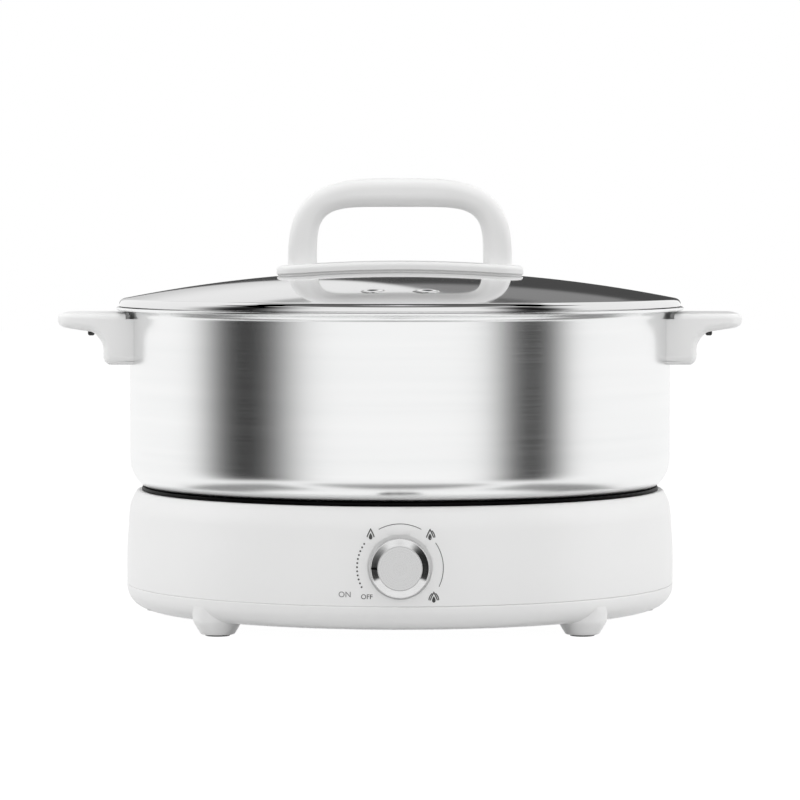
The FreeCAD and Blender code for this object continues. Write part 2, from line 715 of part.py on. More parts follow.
def knob_body():
    body = knob_ring()
    hollow = Part.makeCylinder(KNOB_R - KNOB_WALL, KNOB_HEIGHT - 4, V(0, 0, -1))
    boss = Part.makeCylinder(SHAFT_R + 2.2, KNOB_HEIGHT - 3)
    body = body.cut(hollow).fuse(boss)
    bore = Part.makeCylinder(SHAFT_R, KNOB_HEIGHT - 4)
    body = body.cut([bore, pointer_slot(0)])
    return to_front(body, RECESS_Y - KNOB_GAP)


def knob_cap():
    floor = KNOB_HEIGHT - 0.2 - KNOB_CAP_THICK
    cap = Part.makeCylinder(KNOB_CAP_R - 0.05, KNOB_CAP_THICK, V(0, 0, floor))
    return to_front(cap.cut(pointer_slot(0)), RECESS_Y - KNOB_GAP)


def knob_pointer():
    outer = revolved([(0, 2, 0), (KNOB_R - 0.3, 2, 0), (KNOB_R - 0.3, KNOB_HEIGHT - 1.4, 0.8),
                      (KNOB_CAP_R, KNOB_HEIGHT + 0.1, 0), (0, KNOB_HEIGHT + 0.1, 0)])
    return to_front(pointer_slot(0).common(outer), RECESS_Y - KNOB_GAP)


def control_shaft():
    """A shaft with a flat on its end, from inside the control out to the knob."""
    length = KNOB_HEIGHT - 4 + KNOB_GAP + SHAFT_LENGTH
    shaft = Part.makeCylinder(SHAFT_R, length, V(0, 0, -SHAFT_LENGTH))
    return to_front(shaft, RECESS_Y)


def control_front():
    return RECESS_Y + BOSS_THICK + BRACKET_SHEET


def power_control():
    front = control_front()
    half = CONTROL_WIDTH / 2
    case = box(-half, half, front, front + CONTROL_DEPTH, KNOB_Z - half, KNOB_Z + half)
    bushing = rod_y(0, RECESS_Y + 0.3, front, KNOB_Z, BUSHING_R)
    tabs = [box(x - 2.5, x + 2.5, front + CONTROL_DEPTH, front + CONTROL_DEPTH + 7, KNOB_Z - 4, KNOB_Z - 3.2)
            for x in (-8, 8)]
    bore = rod_y(0, RECESS_Y, RECESS_Y + SHAFT_LENGTH + 1, KNOB_Z, SHAFT_R + 0.2)
    return fused([case, bushing] + tabs).cut(bore)


def control_bracket():
    plate = box(-BOSS_HALF + 2, BOSS_HALF - 2, RECESS_Y + BOSS_THICK, control_front(), KNOB_Z - 13, KNOB_Z + 13)
    holes = [rod_y(side * CONTROL_SCREW_X, RECESS_Y, RECESS_Y + 20, KNOB_Z, 1.2) for side in (-1, 1)]
    return plate.cut(holes + [rod_y(0, RECESS_Y, RECESS_Y + 20, KNOB_Z, BUSHING_R + 0.1)])


def bracket_screws():
    one = placed(screw(2.4, 1.6, 1.1, 4.2), V(0, 0, 0), V(1, 0, 0), 90)
    return group([placed(one, V(side * CONTROL_SCREW_X, control_front(), KNOB_Z)) for side in (-1, 1)])


def indicator_lamp():
    """A lamp in a short sleeve, set against the inside of the front wall."""
    wall = math.sqrt((BASE_R - WALL) ** 2 - (abs(LAMP_X) + LAMP_R) ** 2)
    return rod_y(LAMP_X, -wall + FIT, -wall + 14, LAMP_Z, LAMP_R)


# Power inlet

def inlet_housing():
    half = INLET_WIDTH / 2
    rise = INLET_HEIGHT / 2
    back = INLET_PAD_Y - INLET_BODY_DEPTH
    collar = [(-half, INLET_Z - rise, 6), (half, INLET_Z - rise, 6), (half, INLET_Z + rise, 6), (-half, INLET_Z + rise, 6)]
    body = rounded(collar).extrude(V(0, INLET_REACH - back, 0))
    body.translate(V(0, back, 0))
    flange_half = INLET_PAD_HALF - 2
    flange_rise = rise + 3
    flange = rounded([(-flange_half, INLET_Z - flange_rise, 5), (flange_half, INLET_Z - flange_rise, 5),
                      (flange_half, INLET_Z + flange_rise, 5), (-flange_half, INLET_Z + flange_rise, 5)])
    flange = flange.extrude(V(0, INLET_FLANGE, 0))
    flange.translate(V(0, INLET_PAD_Y, 0))
    inside = half - SOCKET_WALL
    inside_rise = rise - SOCKET_WALL
    socket = rounded([(-inside, INLET_Z - inside_rise, 4), (inside, INLET_Z - inside_rise, 4),
                      (inside, INLET_Z + inside_rise, 4), (-inside, INLET_Z + inside_rise, 4)])
    socket = socket.extrude(V(0, SOCKET_DEPTH + 1, 0))
    socket.translate(V(0, INLET_REACH - SOCKET_DEPTH, 0))
    cuts = [socket]
    cuts += [rod_y(side * INLET_SCREW_X, INLET_PAD_Y - 1, INLET_PAD_Y + 6, INLET_Z, 1.7) for side in (-1, 1)]
    cuts += [rod_y(x, back - 1, INLET_REACH, z, PIN_R) for x, z in pin_places()]
    return body.fuse(flange).removeSplitter().cut(cuts)


def pin_places():
    return [(-PIN_SPREAD, INLET_Z + 3), (PIN_SPREAD, INLET_Z + 3), (0, INLET_Z - 5)]


def inlet_pins():
    back = INLET_PAD_Y - INLET_BODY_DEPTH - PIN_TAIL
    return group([rod_y(x, back, INLET_REACH - PIN_SETBACK, z, PIN_R) for x, z in pin_places()])


def inlet_screws():
    one = placed(screw(3.0, 2.0, 1.6, 13.0), V(0, 0, 0), V(1, 0, 0), 90)
    seat = INLET_PAD_Y + INLET_FLANGE
    return group([placed(one, V(side * INLET_SCREW_X, seat, INLET_Z)) for side in (-1, 1)])


# Wires along the floor of the base

def terminal(side):
    place = tube_leg(side) - UP * (TUBE_BEND_R + TUBE_LEG + 12)
    return V(place.x, place.y, place.z)


def via(x, y, z):
    """A bend in a wire, which spreads with the base as the inlet moves out."""
    spread = (INLET_PAD_Y - INLET_BODY_DEPTH - PIN_TAIL) / WIRE_REACH
    return V(x * spread, y * spread, z)


def wires():
    rear = INLET_PAD_Y - INLET_BODY_DEPTH - PIN_TAIL
    front = control_front() + CONTROL_DEPTH + 7
    tab_z = KNOB_Z - 3.6
    low = FOOT_HEIGHT + WALL + 6
    left = terminal(-1)
    right = terminal(1)
    (live_x, live_z), (neutral_x, neutral_z), (earth_x, earth_z) = pin_places()
    live = [V(live_x, rear, live_z), V(live_x - 2, rear - 14, live_z - 3), via(-24, 96, 34), via(-42, 74, 22),
            via(-56, 38, low), via(-58, 0, low - 1), via(-54, -40, low), via(-40, -78, 24), via(-20, -104, 34),
            V(-8, front + 8, tab_z - 1), V(-8, front, tab_z)]
    neutral = [V(neutral_x, rear, neutral_z), V(neutral_x + 1, rear - 14, neutral_z - 3), via(13, 104, 34),
               V(right.x, via(0, 86, 0).y, 22), V(right.x + 1, right.y + 9, low), V(right.x, right.y, low + 2), right]
    element = [V(8, front, tab_z), V(8, front + 8, tab_z - 1), via(24, -98, 30), via(36, -62, 20),
               via(38, -20, low), via(28, 20, low - 1), V(4, left.y - 16, low), V(left.x + 4, left.y - 6, low),
               V(left.x, left.y, low + 4), left]
    shield = SHIELD_FLOOR_Z - SHIELD_SHEET
    weld_y = SHIELD_R - 18
    earth = [V(earth_x, rear, earth_z), V(earth_x, rear - 12, earth_z - 1), V(-3, weld_y + 26, 33),
             V(-1, weld_y + 8, 31), V(0, weld_y, shield - 8), V(0, weld_y, shield)]
    return [live, neutral, element, earth]


# Pot

def pot_shell():
    bottom = POT_Z
    inner = POT_R - POT_SHEET
    rim = POT_R + RIM_REACH
    return revolved([(0, bottom, 0), (POT_R, bottom, POT_CORNER), (POT_R, RIM_Z - RIM_LIP - 0.6, RIM_NECK),
                     (rim, RIM_Z - RIM_LIP, 0.9), (rim, RIM_Z, 0.9), (inner, RIM_Z - 0.9, RIM_NECK + POT_SHEET),
                     (inner, bottom + POT_SHEET, POT_CORNER - POT_SHEET), (0, bottom + POT_SHEET, 0)])


def pot_base_disc():
    return revolved([(0, PLATE_Z, 0), (DISC_R, PLATE_Z, 1.0), (DISC_R, POT_Z, 0), (0, POT_Z, 0)])


def grip_edges(shape, inside_x):
    """The edges that run round the outside of a grip, clear of the face towards the pot."""
    return [edge for edge in shape.Edges if edge.BoundBox.XMax > inside_x + 0.5]


def side_handle():
    """One moulded grip with a leg against the pot, hollowed for its steel tab."""
    inner_x = POT_R - 14
    under = HANDLE_Z - HANDLE_THICK
    leg_z = HANDLE_Z - LEG_DROP
    outline = [(inner_x, HANDLE_Z, 0), (HANDLE_TIP_X, HANDLE_Z, 0), (HANDLE_TIP_X, under, 0),
               (LEG_X, under - GRIP_SLOPE, LEG_CURVE), (LEG_X, leg_z, 0), (inner_x, leg_z, 0)]
    block = across(outline, HANDLE_HALF + 4)
    plan = prism([(inner_x, -HANDLE_HALF, 0), (HANDLE_TIP_X, -HANDLE_TIP_HALF, GRIP_CORNER),
                  (HANDLE_TIP_X, HANDLE_TIP_HALF, GRIP_CORNER), (inner_x, HANDLE_HALF, 0)],
                 leg_z - 1, HANDLE_Z + 1)
    grip = block.common(plan).removeSplitter()
    outside = grip_edges(grip, inner_x)
    top = [edge for edge in outside if edge.BoundBox.ZMin > HANDLE_Z - 0.1]
    grip = grip.makeFillet(GRIP_TOP_EDGE, top)
    side = HANDLE_TIP_HALF - GRIP_CORNER
    lower = [edge for edge in grip_edges(grip, inner_x)
             if edge.BoundBox.ZMax < HANDLE_Z - GRIP_TOP_EDGE - 0.1
             and (abs(edge.CenterOfMass.y) > side or edge.BoundBox.ZMax < leg_z + 0.1)]
    grip = grip.makeFillet(LEG_CORNER, lower)
    seat = revolved([(0, leg_z - 5, 0), (POT_R, leg_z - 5, 0), (POT_R, HANDLE_Z - 3.2, 0),
                     (POT_R + 4.4, HANDLE_Z - 3.2, 0), (POT_R + 4.4, HANDLE_Z + 5, 0), (0, HANDLE_Z + 5, 0)])
    tab_z = tab_height()
    hollow = box(POT_R - 14, TAB_X + 0.5, -TAB_HALF - 0.5, TAB_HALF + 0.5, tab_z - 0.2, tab_z + TAB_SHEET + 0.2)
    plate = plate_block(TAB_PLATE + 0.2, TAB_HALF + 5.5, leg_z + 3, HANDLE_Z - 3)
    bore = post(V(HANDLE_SCREW_X, 0, leg_z), 1.7, tab_z - leg_z + 1)
    counterbore = post(V(HANDLE_SCREW_X, 0, leg_z), HANDLE_SCREW_HEAD_R + 0.2, screw_seat() - leg_z)
    return grip.cut([seat, hollow, plate, bore, counterbore])


def screw_seat():
    """Where the screw's head bears, a little inside the sloping underside of the grip."""
    slope = GRIP_SLOPE / (HANDLE_TIP_X - LEG_X)
    return HANDLE_Z - HANDLE_THICK - slope * (HANDLE_TIP_X - HANDLE_SCREW_X) + 0.9


def tab_height():
    return HANDLE_Z - HANDLE_THICK + 1.6


def plate_block(thick, half, z_low, z_high):
    """A strip of the pot's round wall, of a given thickness outwards."""
    strip = Part.makeCylinder(POT_R + thick, z_high - z_low, V(0, 0, z_low))
    strip = strip.cut(Part.makeCylinder(POT_R, z_high - z_low, V(0, 0, z_low)))
    return strip.common(box(POT_R - 14, POT_R + 10, -half, half, z_low, z_high))


def handle_bracket():
    """A steel plate welded to the pot with a tab out into the grip."""
    tab_z = tab_height()
    plate = plate_block(TAB_PLATE, TAB_HALF + 5, HANDLE_Z - LEG_DROP + 4, HANDLE_Z - 4)
    tab = box(POT_R - 10, TAB_X, -TAB_HALF, TAB_HALF, tab_z, tab_z + TAB_SHEET)
    tab = tab.cut(Part.makeCylinder(POT_R, 300))
    hole = post(V(HANDLE_SCREW_X, 0, tab_z - 1), 1.5, 5)
    return plate.fuse(tab).removeSplitter().cut(hole)


def handle_screw():
    one = screw(HANDLE_SCREW_HEAD_R, 2.6, 1.5, tab_height() + TAB_SHEET - screw_seat())
    return placed(one, V(HANDLE_SCREW_X, 0, screw_seat()))


# Lid

def lid_corner(offset):
    """The centre of the lid's rounded edge, and where that edge leaves the dome, for one face."""
    centre_x = LID_R - LID_CORNER
    rise = math.sqrt((DOME_R - LID_CORNER) ** 2 - centre_x ** 2)
    centre = V(centre_x, 0, DOME_CENTRE.z + rise)
    outward = (centre - DOME_CENTRE).normalize()
    start = DOME_CENTRE + outward * (DOME_R - offset)
    middle = centre + (outward + V(1, 0, 0)).normalize() * (LID_CORNER - offset)
    return start, middle, centre + V(LID_CORNER - offset, 0, 0)


def dome_arc(offset, end):
    top = DOME_CENTRE + UP * (DOME_R - offset)
    half = ((top - DOME_CENTRE).normalize() + (end - DOME_CENTRE).normalize()).normalize()
    return Part.Arc(top, DOME_CENTRE + half * (DOME_R - offset), end).toShape()


def lid_sheet():
    outer_start, outer_middle, outer_end = lid_corner(0)
    inner_start, inner_middle, inner_end = lid_corner(LID_SHEET)
    top = DOME_CENTRE + UP * DOME_R
    below = top - UP * LID_SHEET
    foot_out = V(LID_R, 0, LID_Z)
    foot_in = V(LID_R - LID_SHEET, 0, LID_Z)
    edges = [dome_arc(0, outer_start), Part.Arc(outer_start, outer_middle, outer_end).toShape(),
             Part.LineSegment(outer_end, foot_out).toShape(), Part.LineSegment(foot_out, foot_in).toShape(),
             Part.LineSegment(foot_in, inner_end).toShape(), Part.Arc(inner_end, inner_middle, inner_start).toShape(),
             dome_arc(LID_SHEET, inner_start), Part.LineSegment(below, top).toShape()]
    return Part.Face(Part.Wire(Part.__sortEdges__(edges))).revolve(V(0, 0, 0), UP, 360)


def tilted(shape, x, y=0.0):
    """Moves a shape from the dome's top along the dome, so that it stands square to it."""
    moved = shape.copy()
    reach = math.hypot(x, y)
    moved.rotate(DOME_CENTRE, V(-y, x, 0), math.degrees(math.asin(reach / DOME_R)))
    return moved


def vent_places():
    return [(-VENT_X, VENT_Y), (VENT_X, VENT_Y)]


def lid_panel():
    """The pressed lid: a shallow dome with a rolled edge, an inner skirt and two dished steam vents."""
    skirt = revolved([(SKIRT_R - LID_SHEET, LID_Z - SKIRT_DEPTH, 0), (SKIRT_R, LID_Z - SKIRT_DEPTH, 0),
                      (SKIRT_R, DOME_TOP_Z, 0), (SKIRT_R - LID_SHEET, DOME_TOP_Z, 0)])
    panel = lid_sheet().fuse(skirt.common(dome(-LID_SHEET / 2)))
    top = DOME_TOP_Z
    adds = []
    cuts = []
    for x, y in vent_places():
        adds.append(tilted(post(V(0, 0, top - LID_SHEET - 1.2), 7.0, 1.6), x, y))
        dish = Part.makeSphere(VENT_DISH_R, V(0, 0, top + VENT_DISH_R - VENT_DISH_DEPTH))
        cuts.append(tilted(dish, x, y))
        cuts.append(tilted(post(V(0, 0, top - 6), VENT_HOLE_R, 10), x, y))
    for side in (-1, 1):
        cuts.append(tilted(post(V(0, 0, top - 3), 2.2, 6), side * LID_SCREW_X))
    return fused([panel] + adds).cut(cuts)


def stadium(length, width, z_low, z_high):
    half = width / 2 - 0.01
    a = length / 2
    b = width / 2
    return prism([(-a, -b, half), (a, -b, half), (a, b, half), (-a, b, half)], z_low, z_high)


def arch():
    """The upright bow of the handle, with every long edge rounded."""
    foot_z = DOME_TOP_Z - 8
    top = DOME_TOP_Z + ARCH_RISE
    shoulder = top - ARCH_CROWN * ARCH_TOP_HALF
    inner = ARCH_HALF - ARCH_BAR + 0.8
    inner_top = ARCH_TOP_HALF - ARCH_BAR + 1.4
    outline = [(ARCH_HALF, foot_z, 0), (ARCH_TOP_HALF, shoulder, ARCH_CORNER), (0, top, 400),
               (-ARCH_TOP_HALF, shoulder, ARCH_CORNER), (-ARCH_HALF, foot_z, 0), (-inner, foot_z, 0),
               (-inner_top, top - ARCH_BAR - 2.0, ARCH_INNER_CORNER), (0, top - ARCH_BAR, 400),
               (inner_top, top - ARCH_BAR - 2.0, ARCH_INNER_CORNER), (inner, foot_z, 0)]
    bow = across(outline, ARCH_DEPTH / 2)
    long_edges = [edge for edge in bow.Edges
                  if edge.BoundBox.YLength < 0.01 and edge.BoundBox.ZMax > foot_z + 0.1]
    return bow.makeFillet(ARCH_EDGE, long_edges)


def handle_flange():
    raw = stadium(FLANGE_LENGTH, FLANGE_WIDTH, DOME_TOP_Z - 10, DOME_TOP_Z + 12)
    flange = raw.common(dome(GASKET_THICK + FLANGE_THICK))
    top = [edge for edge in flange.Edges if edge.BoundBox.ZMin > DOME_TOP_Z - 1 + FLANGE_THICK - 3]
    return flange.makeFillet(FLANGE_EDGE, top)


def lid_handle():
    body = arch().fuse(handle_flange()).cut(dome(GASKET_THICK)).removeSplitter()
    holes = [tilted(post(V(0, 0, DOME_TOP_Z - 4), 2.0, LID_SCREW_LENGTH + 4), side * LID_SCREW_X)
             for side in (-1, 1)]
    return body.cut(holes)


def handle_gasket():
    raw = stadium(FLANGE_LENGTH - 2, FLANGE_WIDTH - 2, DOME_TOP_Z - 10, DOME_TOP_Z + 12)
    holes = [tilted(post(V(0, 0, DOME_TOP_Z - 3), 2.4, 8), side * LID_SCREW_X) for side in (-1, 1)]
    return raw.common(dome(GASKET_THICK)).cut([dome(0)] + holes)


def lid_handle_screws():
    seat = DOME_TOP_Z - LID_SHEET - WASHER_THICK
    one = placed(screw(4.0, 2.4, 2.0, LID_SCREW_LENGTH), V(0, 0, seat))
    return group([tilted(one, side * LID_SCREW_X) for side in (-1, 1)])


def lid_handle_washers():
    top = DOME_TOP_Z - LID_SHEET
    ring = post(V(0, 0, top - WASHER_THICK), WASHER_R, WASHER_THICK)
    ring = ring.common(dome(-LID_SHEET)).cut(post(V(0, 0, top - 5), 2.1, 10))
    return group([tilted(ring, side * LID_SCREW_X) for side in (-1, 1)])


def all_parts():
    coil = heating_tube()
    parts = {"base_housing": base_housing(), "base_pan": base_pan(), "base_screws": base_screws()}
    for name, angle in FEET.items():
        parts["foot_" + name] = foot(angle)
        parts["foot_pad_" + name] = foot_pad(angle)
    parts["support_ring"] = support_ring()
    parts["ring_screws"] = ring_screws()
    parts["heating_plate"] = heating_plate(coil)
    parts["heating_tube"] = coil
    parts["element_terminals"] = element_terminals()
    parts["heat_shield"] = heat_shield()
    parts["shield_screws"] = shield_screws()
    parts["plate_studs"] = plate_studs()
    parts["plate_spacers"] = plate_spacers()
    parts["plate_nuts"] = plate_nuts()
    parts["thermal_cutout"] = thermal_cutout()
    parts["sensor_cup"] = sensor_cup()
    parts["sensor_bimetal"] = sensor_bimetal()
    parts["sensor_guide"] = sensor_guide()
    parts["sensor_spring"] = sensor_spring()
    parts["knob_body"] = knob_body()
    parts["knob_cap"] = knob_cap()
    parts["knob_pointer"] = knob_pointer()
    parts["control_shaft"] = control_shaft()
    parts["power_control"] = power_control()
    parts["control_bracket"] = control_bracket()
    parts["bracket_screws"] = bracket_screws()
    parts["indicator_lamp"] = indicator_lamp()
    parts["inlet_housing"] = inlet_housing()
    parts["inlet_pins"] = inlet_pins()
    parts["inlet_screws"] = inlet_screws()
    for name, route in zip(("wire_live", "wire_neutral", "wire_element", "wire_earth"), wires()):
        parts[name] = tube(route, WIRE_R)
    parts["pot_shell"] = pot_shell()
    parts["pot_base_disc"] = pot_base_disc()
    for name, make in (("side_handle", side_handle), ("handle_bracket", handle_bracket),
                       ("handle_screw", handle_screw)):
        right = make()
        parts[name + "_right"] = right
        parts[name + "_left"] = mirrored(right)
    parts["lid_panel"] = lid_panel()
    parts["lid_handle"] = lid_handle()
    parts["handle_gasket"] = handle_gasket()
    parts["lid_handle_screws"] = lid_handle_screws()
    parts["lid_handle_washers"] = lid_handle_washers()
    return parts


os.makedirs("parts", exist_ok=True)
for name, shape in all_parts().items():
    shape.exportStep("parts/" + name + ".step")
    print(name, "solids", len(shape.Solids), "volume", round(shape.Volume), "valid", shape.isValid())
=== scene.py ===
import json
import math

import bmesh
import bpy
from mathutils import Matrix, Vector


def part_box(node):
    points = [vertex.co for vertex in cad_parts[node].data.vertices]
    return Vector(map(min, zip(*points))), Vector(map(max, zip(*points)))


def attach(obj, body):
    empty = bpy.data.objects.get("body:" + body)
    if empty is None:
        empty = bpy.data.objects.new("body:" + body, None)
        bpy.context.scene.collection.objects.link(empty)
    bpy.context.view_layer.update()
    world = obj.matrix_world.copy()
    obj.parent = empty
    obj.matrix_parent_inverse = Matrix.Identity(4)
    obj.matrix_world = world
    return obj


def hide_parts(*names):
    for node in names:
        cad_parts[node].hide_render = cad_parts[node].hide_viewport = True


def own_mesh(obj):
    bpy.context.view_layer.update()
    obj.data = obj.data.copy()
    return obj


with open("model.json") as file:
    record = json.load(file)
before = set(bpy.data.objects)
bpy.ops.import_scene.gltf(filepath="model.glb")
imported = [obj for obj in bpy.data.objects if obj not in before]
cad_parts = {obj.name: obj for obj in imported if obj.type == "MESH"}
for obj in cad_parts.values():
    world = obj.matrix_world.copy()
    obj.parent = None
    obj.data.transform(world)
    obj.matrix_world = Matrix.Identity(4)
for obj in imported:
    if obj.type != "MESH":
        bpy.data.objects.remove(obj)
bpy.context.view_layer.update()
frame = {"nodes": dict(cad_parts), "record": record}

# Sizes in metres. The boxes come from the frame, and the rest are the real object's sizes.
MM = 0.001
POT_LOW, POT_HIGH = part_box("pot_shell")
LID_LOW, LID_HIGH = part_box("lid_panel")
KNOB_LOW, KNOB_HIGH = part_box("knob_body")
HANDLE_LOW, HANDLE_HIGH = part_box("lid_handle")
POT_SHEET = 1 * MM
LID_SHEET = 1 * MM
RIM_REACH = 8 * MM
DOME_R = 834 * MM
LID_R = LID_HIGH[0]
SKIRT_R = 157.7 * MM

# The lid's arch handle: half lengths, the bar's depth and the squareness of its two curves
ARCH_TOP = HANDLE_HIGH[2] - 0.35 * MM
ARCH_HALF = 66.2 * MM
ARCH_BAR = 17 * MM
ARCH_DEPTH = 24 * MM
ARCH_EDGE = 6.4 * MM
OUTER_SQUARENESS = 3.3
INNER_SQUARENESS = 5.3
FLANGE_HALF = 73 * MM
FLANGE_SIDE = 22 * MM
FLANGE_THICK = 5.9 * MM
FLANGE_EDGE = 2.5 * MM

# The two steam vents: a shallow dish with a small hole
VENT_X = 15 * MM
VENT_Y = -127 * MM
VENT_BALL = 30 * MM
VENT_DEPTH = 0.8 * MM
VENT_HOLE = 1.1 * MM

# The base's outer wall: straight, then bent in toward a shoulder
WALL_STRAIGHT = 20 * MM
WALL_INSET = 1.8 * MM
WALL_BEND = 120 * MM
SHOULDER = 7.9 * MM

# The side grips: where the leg's face is, and how far it is drawn in and the underside drawn up
LEG_FACE = POT_HIGH[0] + 7.9 * MM
LEG_DEPTH = 15 * MM
LEG_SHIFT = 2 * MM
GRIP_THICK = 11 * MM
GRIP_LIFT = 1.4 * MM
GRIP_EASE = 6 * MM

# The knob and the printing round it
KNOB_Z = (KNOB_LOW[2] + KNOB_HIGH[2]) / 2
DIAL_Z = KNOB_Z - 0.4 * MM
DIAL_Y = -168 * MM
PRINT_STANDS = 0.12 * MM

# What shines sees: dark flags beside the camera as (middle, half width) in degrees, and their heights
LEFT_FLAG = (-67.6, 22.8)
RIGHT_FLAG = (57, 16.2)
FLAG_RISE = (-27, 48)
AMBIENT = 0.57
GLOW = 1.1

# The camera, fitted to the ellipses of the rim, the ring and the base: an 800 pixel frame and a focal
# length in the same pixels
FOCAL_PIXELS = 3967
FRAME_PIXELS = 800
SENSOR = 36
CAMERA_BACK = 2.348
CAMERA_HEIGHT = 0.2366
CAMERA_TILT = math.radians(2.619)

bodies = frame["record"]["behaviour"]["bodies"]
body_of_node = {node: body for body, nodes in bodies.items() for node in nodes}
slot_of_node = {entry["node"]: entry["material_slot"] for entry in frame["record"]["subparts"]}


# Finishes

class Value:
    """A socket of a finish that takes part in sums like a number."""

    def __init__(self, finish, socket):
        self.finish = finish
        self.socket = socket

    def sum(self, operation, left, right):
        return self.finish.node("ShaderNodeMath", {"operation": operation}, {0: left, 1: right})

    def __add__(self, other):
        return self.sum("ADD", self, other)

    def __sub__(self, other):
        return self.sum("SUBTRACT", self, other)

    def __mul__(self, other):
        return self.sum("MULTIPLY", self, other)

    def __truediv__(self, other):
        return self.sum("DIVIDE", self, other)

    def __radd__(self, other):
        return self.sum("ADD", other, self)

    def __rsub__(self, other):
        return self.sum("SUBTRACT", other, self)

    def __rmul__(self, other):
        return self.sum("MULTIPLY", other, self)

    def __gt__(self, other):
        return self.sum("GREATER_THAN", self, other)

    def to(self, operation, other=0.0):
        return self.sum(operation, self, other)


class Finish:
    """A material or a world with its nodes, and one Principled surface when it is a material."""

    def __init__(self, name, world=False):
        self.block = bpy.data.worlds.new(name) if world else bpy.data.materials.new(name)
        self.block.use_nodes = True
        self.tree = self.block.node_tree
        self.tree.nodes.clear()
        kind = "ShaderNodeOutputWorld" if world else "ShaderNodeOutputMaterial"
        self.output = self.tree.nodes.new(kind)

    def node(self, kind, settings=None, sockets=None, output=0):
        made = self.tree.nodes.new(kind)
        for name, value in (settings or {}).items():
            setattr(made, name, value)
        for name, value in (sockets or {}).items():
            self.feed(made.inputs[name], value)
        return Value(self, made.outputs[output])

    def feed(self, socket, value):
        if isinstance(value, Value):
            self.tree.links.new(value.socket, socket)
        else:
            socket.default_value = value

    def position(self, scale=(1, 1, 1), centre=(0, 0, 0)):
        """Object coordinates, moved so that a centre is at zero and then scaled."""
        place = self.node("ShaderNodeTexCoord", output=3)
        moved = [-c * s for c, s in zip(centre, scale)]
        return self.node("ShaderNodeMapping", {}, {"Vector": place, "Location": moved, "Scale": scale})

    def noise(self, scale, where, detail=3.0, roughness=0.5):
        return self.node("ShaderNodeTexNoise", {}, {"Vector": where, "Scale": scale, "Detail": detail,
                                                    "Roughness": roughness})

    def axes(self, where):
        parts = self.node("ShaderNodeSeparateXYZ", {}, {"Vector": where})
        sockets = parts.socket.node.outputs
        return [Value(self, sockets[i]) for i in range(3)]

    def bump(self, height, distance, strength=1.0):
        sockets = {"Height": height, "Distance": distance, "Strength": strength}
        return self.node("ShaderNodeBump", {}, sockets)

    def blend(self, factor, first, second):
        made = self.tree.nodes.new("ShaderNodeMix")
        made.data_type = "RGBA"
        self.feed(made.inputs[0], factor)
        self.feed(made.inputs[6], first)
        self.feed(made.inputs[7], second)
        return Value(self, made.outputs[2])

    def surface(self, **sockets):
        """The Principled surface; a socket's name has its spaces written as underscores."""
        named = {name.replace("_", " "): value for name, value in sockets.items()}
        shader = self.node("ShaderNodeBsdfPrincipled", {}, named)
        self.tree.links.new(shader.socket, self.output.inputs["Surface"])
        return self.block


def shade(grey, tint=(1, 1, 1)):
    """A colour as a display shows it, 0 to 255, as the renderer's linear colour."""
    level = grey / 255
    linear = level / 12.92 if level < 0.04045 else ((level + 0.055) / 1.055) ** 2.4
    return (linear * tint[0], linear * tint[1], linear * tint[2], 1)


def moulded_white():
    """Smooth gloss plastic with a faint moulding ripple and slight clouding."""
    finish = Finish("moulded_white")
    cloud = finish.noise(14, finish.position(), detail=2)
    ripple = finish.noise(420, finish.position(), detail=2)
    colour = finish.blend(cloud, shade(235, (1, 1, 0.995)), shade(239, (1, 1, 1)))
    roughness = 0.26 + cloud * 0.08
    return finish.surface(Base_Color=colour, Roughness=roughness, IOR=1.5,
                          Normal=finish.bump(ripple, 0.00002, 0.25))


def moulded_black():
    """The ring's and the inlet's matt black plastic, with a fine grain."""
    finish = Finish("moulded_black")
    grain = finish.noise(900, finish.position(), detail=3)
    colour = finish.blend(grain, shade(2), shade(8))
    return finish.surface(Base_Color=colour, Roughness=0.36 + grain * 0.12, Specular_IOR_Level=0.05,
                          Normal=finish.bump(grain, 0.00003, 0.3))


def brushed_pot():
    """Steel brushed round the pot: fine level lines that smear a reflection up and down."""
    finish = Finish("brushed_pot")
    lines = finish.noise(1.0, finish.position((9, 9, 2600)), detail=4, roughness=0.6)
    broad = finish.noise(1.0, finish.position((3, 3, 130)), detail=2)
    colour = finish.blend(broad, shade(239, (0.99, 1, 1.0)), shade(247))
    return finish.surface(Base_Color=colour, Metallic=1.0, Roughness=0.17 + lines * 0.12,
                          Normal=finish.bump(lines, 0.000012, 0.5))


def mirror_steel():
    """The lid's polished steel, with a faint haze."""
    finish = Finish("mirror_steel")
    haze = finish.noise(30, finish.position(), detail=3)
    colour = finish.blend(haze, shade(226), shade(233))
    return finish.surface(Base_Color=colour, Metallic=1.0, Roughness=0.05 + haze * 0.03)


def plain_steel(name, grey, roughness):
    """Plated or drawn metal with a slight lay."""
    finish = Finish(name)
    grain = finish.noise(260, finish.position((1, 1, 6)), detail=3)
    colour = finish.blend(grain, shade(grey - 10), shade(grey + 10))
    return finish.surface(Base_Color=colour, Metallic=1.0, Roughness=roughness + grain * 0.12,
                          Normal=finish.bump(grain, 0.00001, 0.3))


def turned_knob():
    """The knob's cap and rim, turned: fine rings about its axis."""
    finish = Finish("turned_knob")
    x, y, z = finish.axes(finish.position(centre=(0, 0, KNOB_Z)))
    radius = (x * x + z * z).to("SQRT")
    across = finish.node("ShaderNodeCombineXYZ", {}, {"X": radius * 5200, "Y": y * 300})
    rings = finish.noise(1.0, across, detail=3)
    colour = finish.blend(rings, shade(196), shade(214))
    return finish.surface(Base_Color=colour, Metallic=1.0, Roughness=0.2 + rings * 0.16,
                          Normal=finish.bump(rings, 0.000012, 0.5))


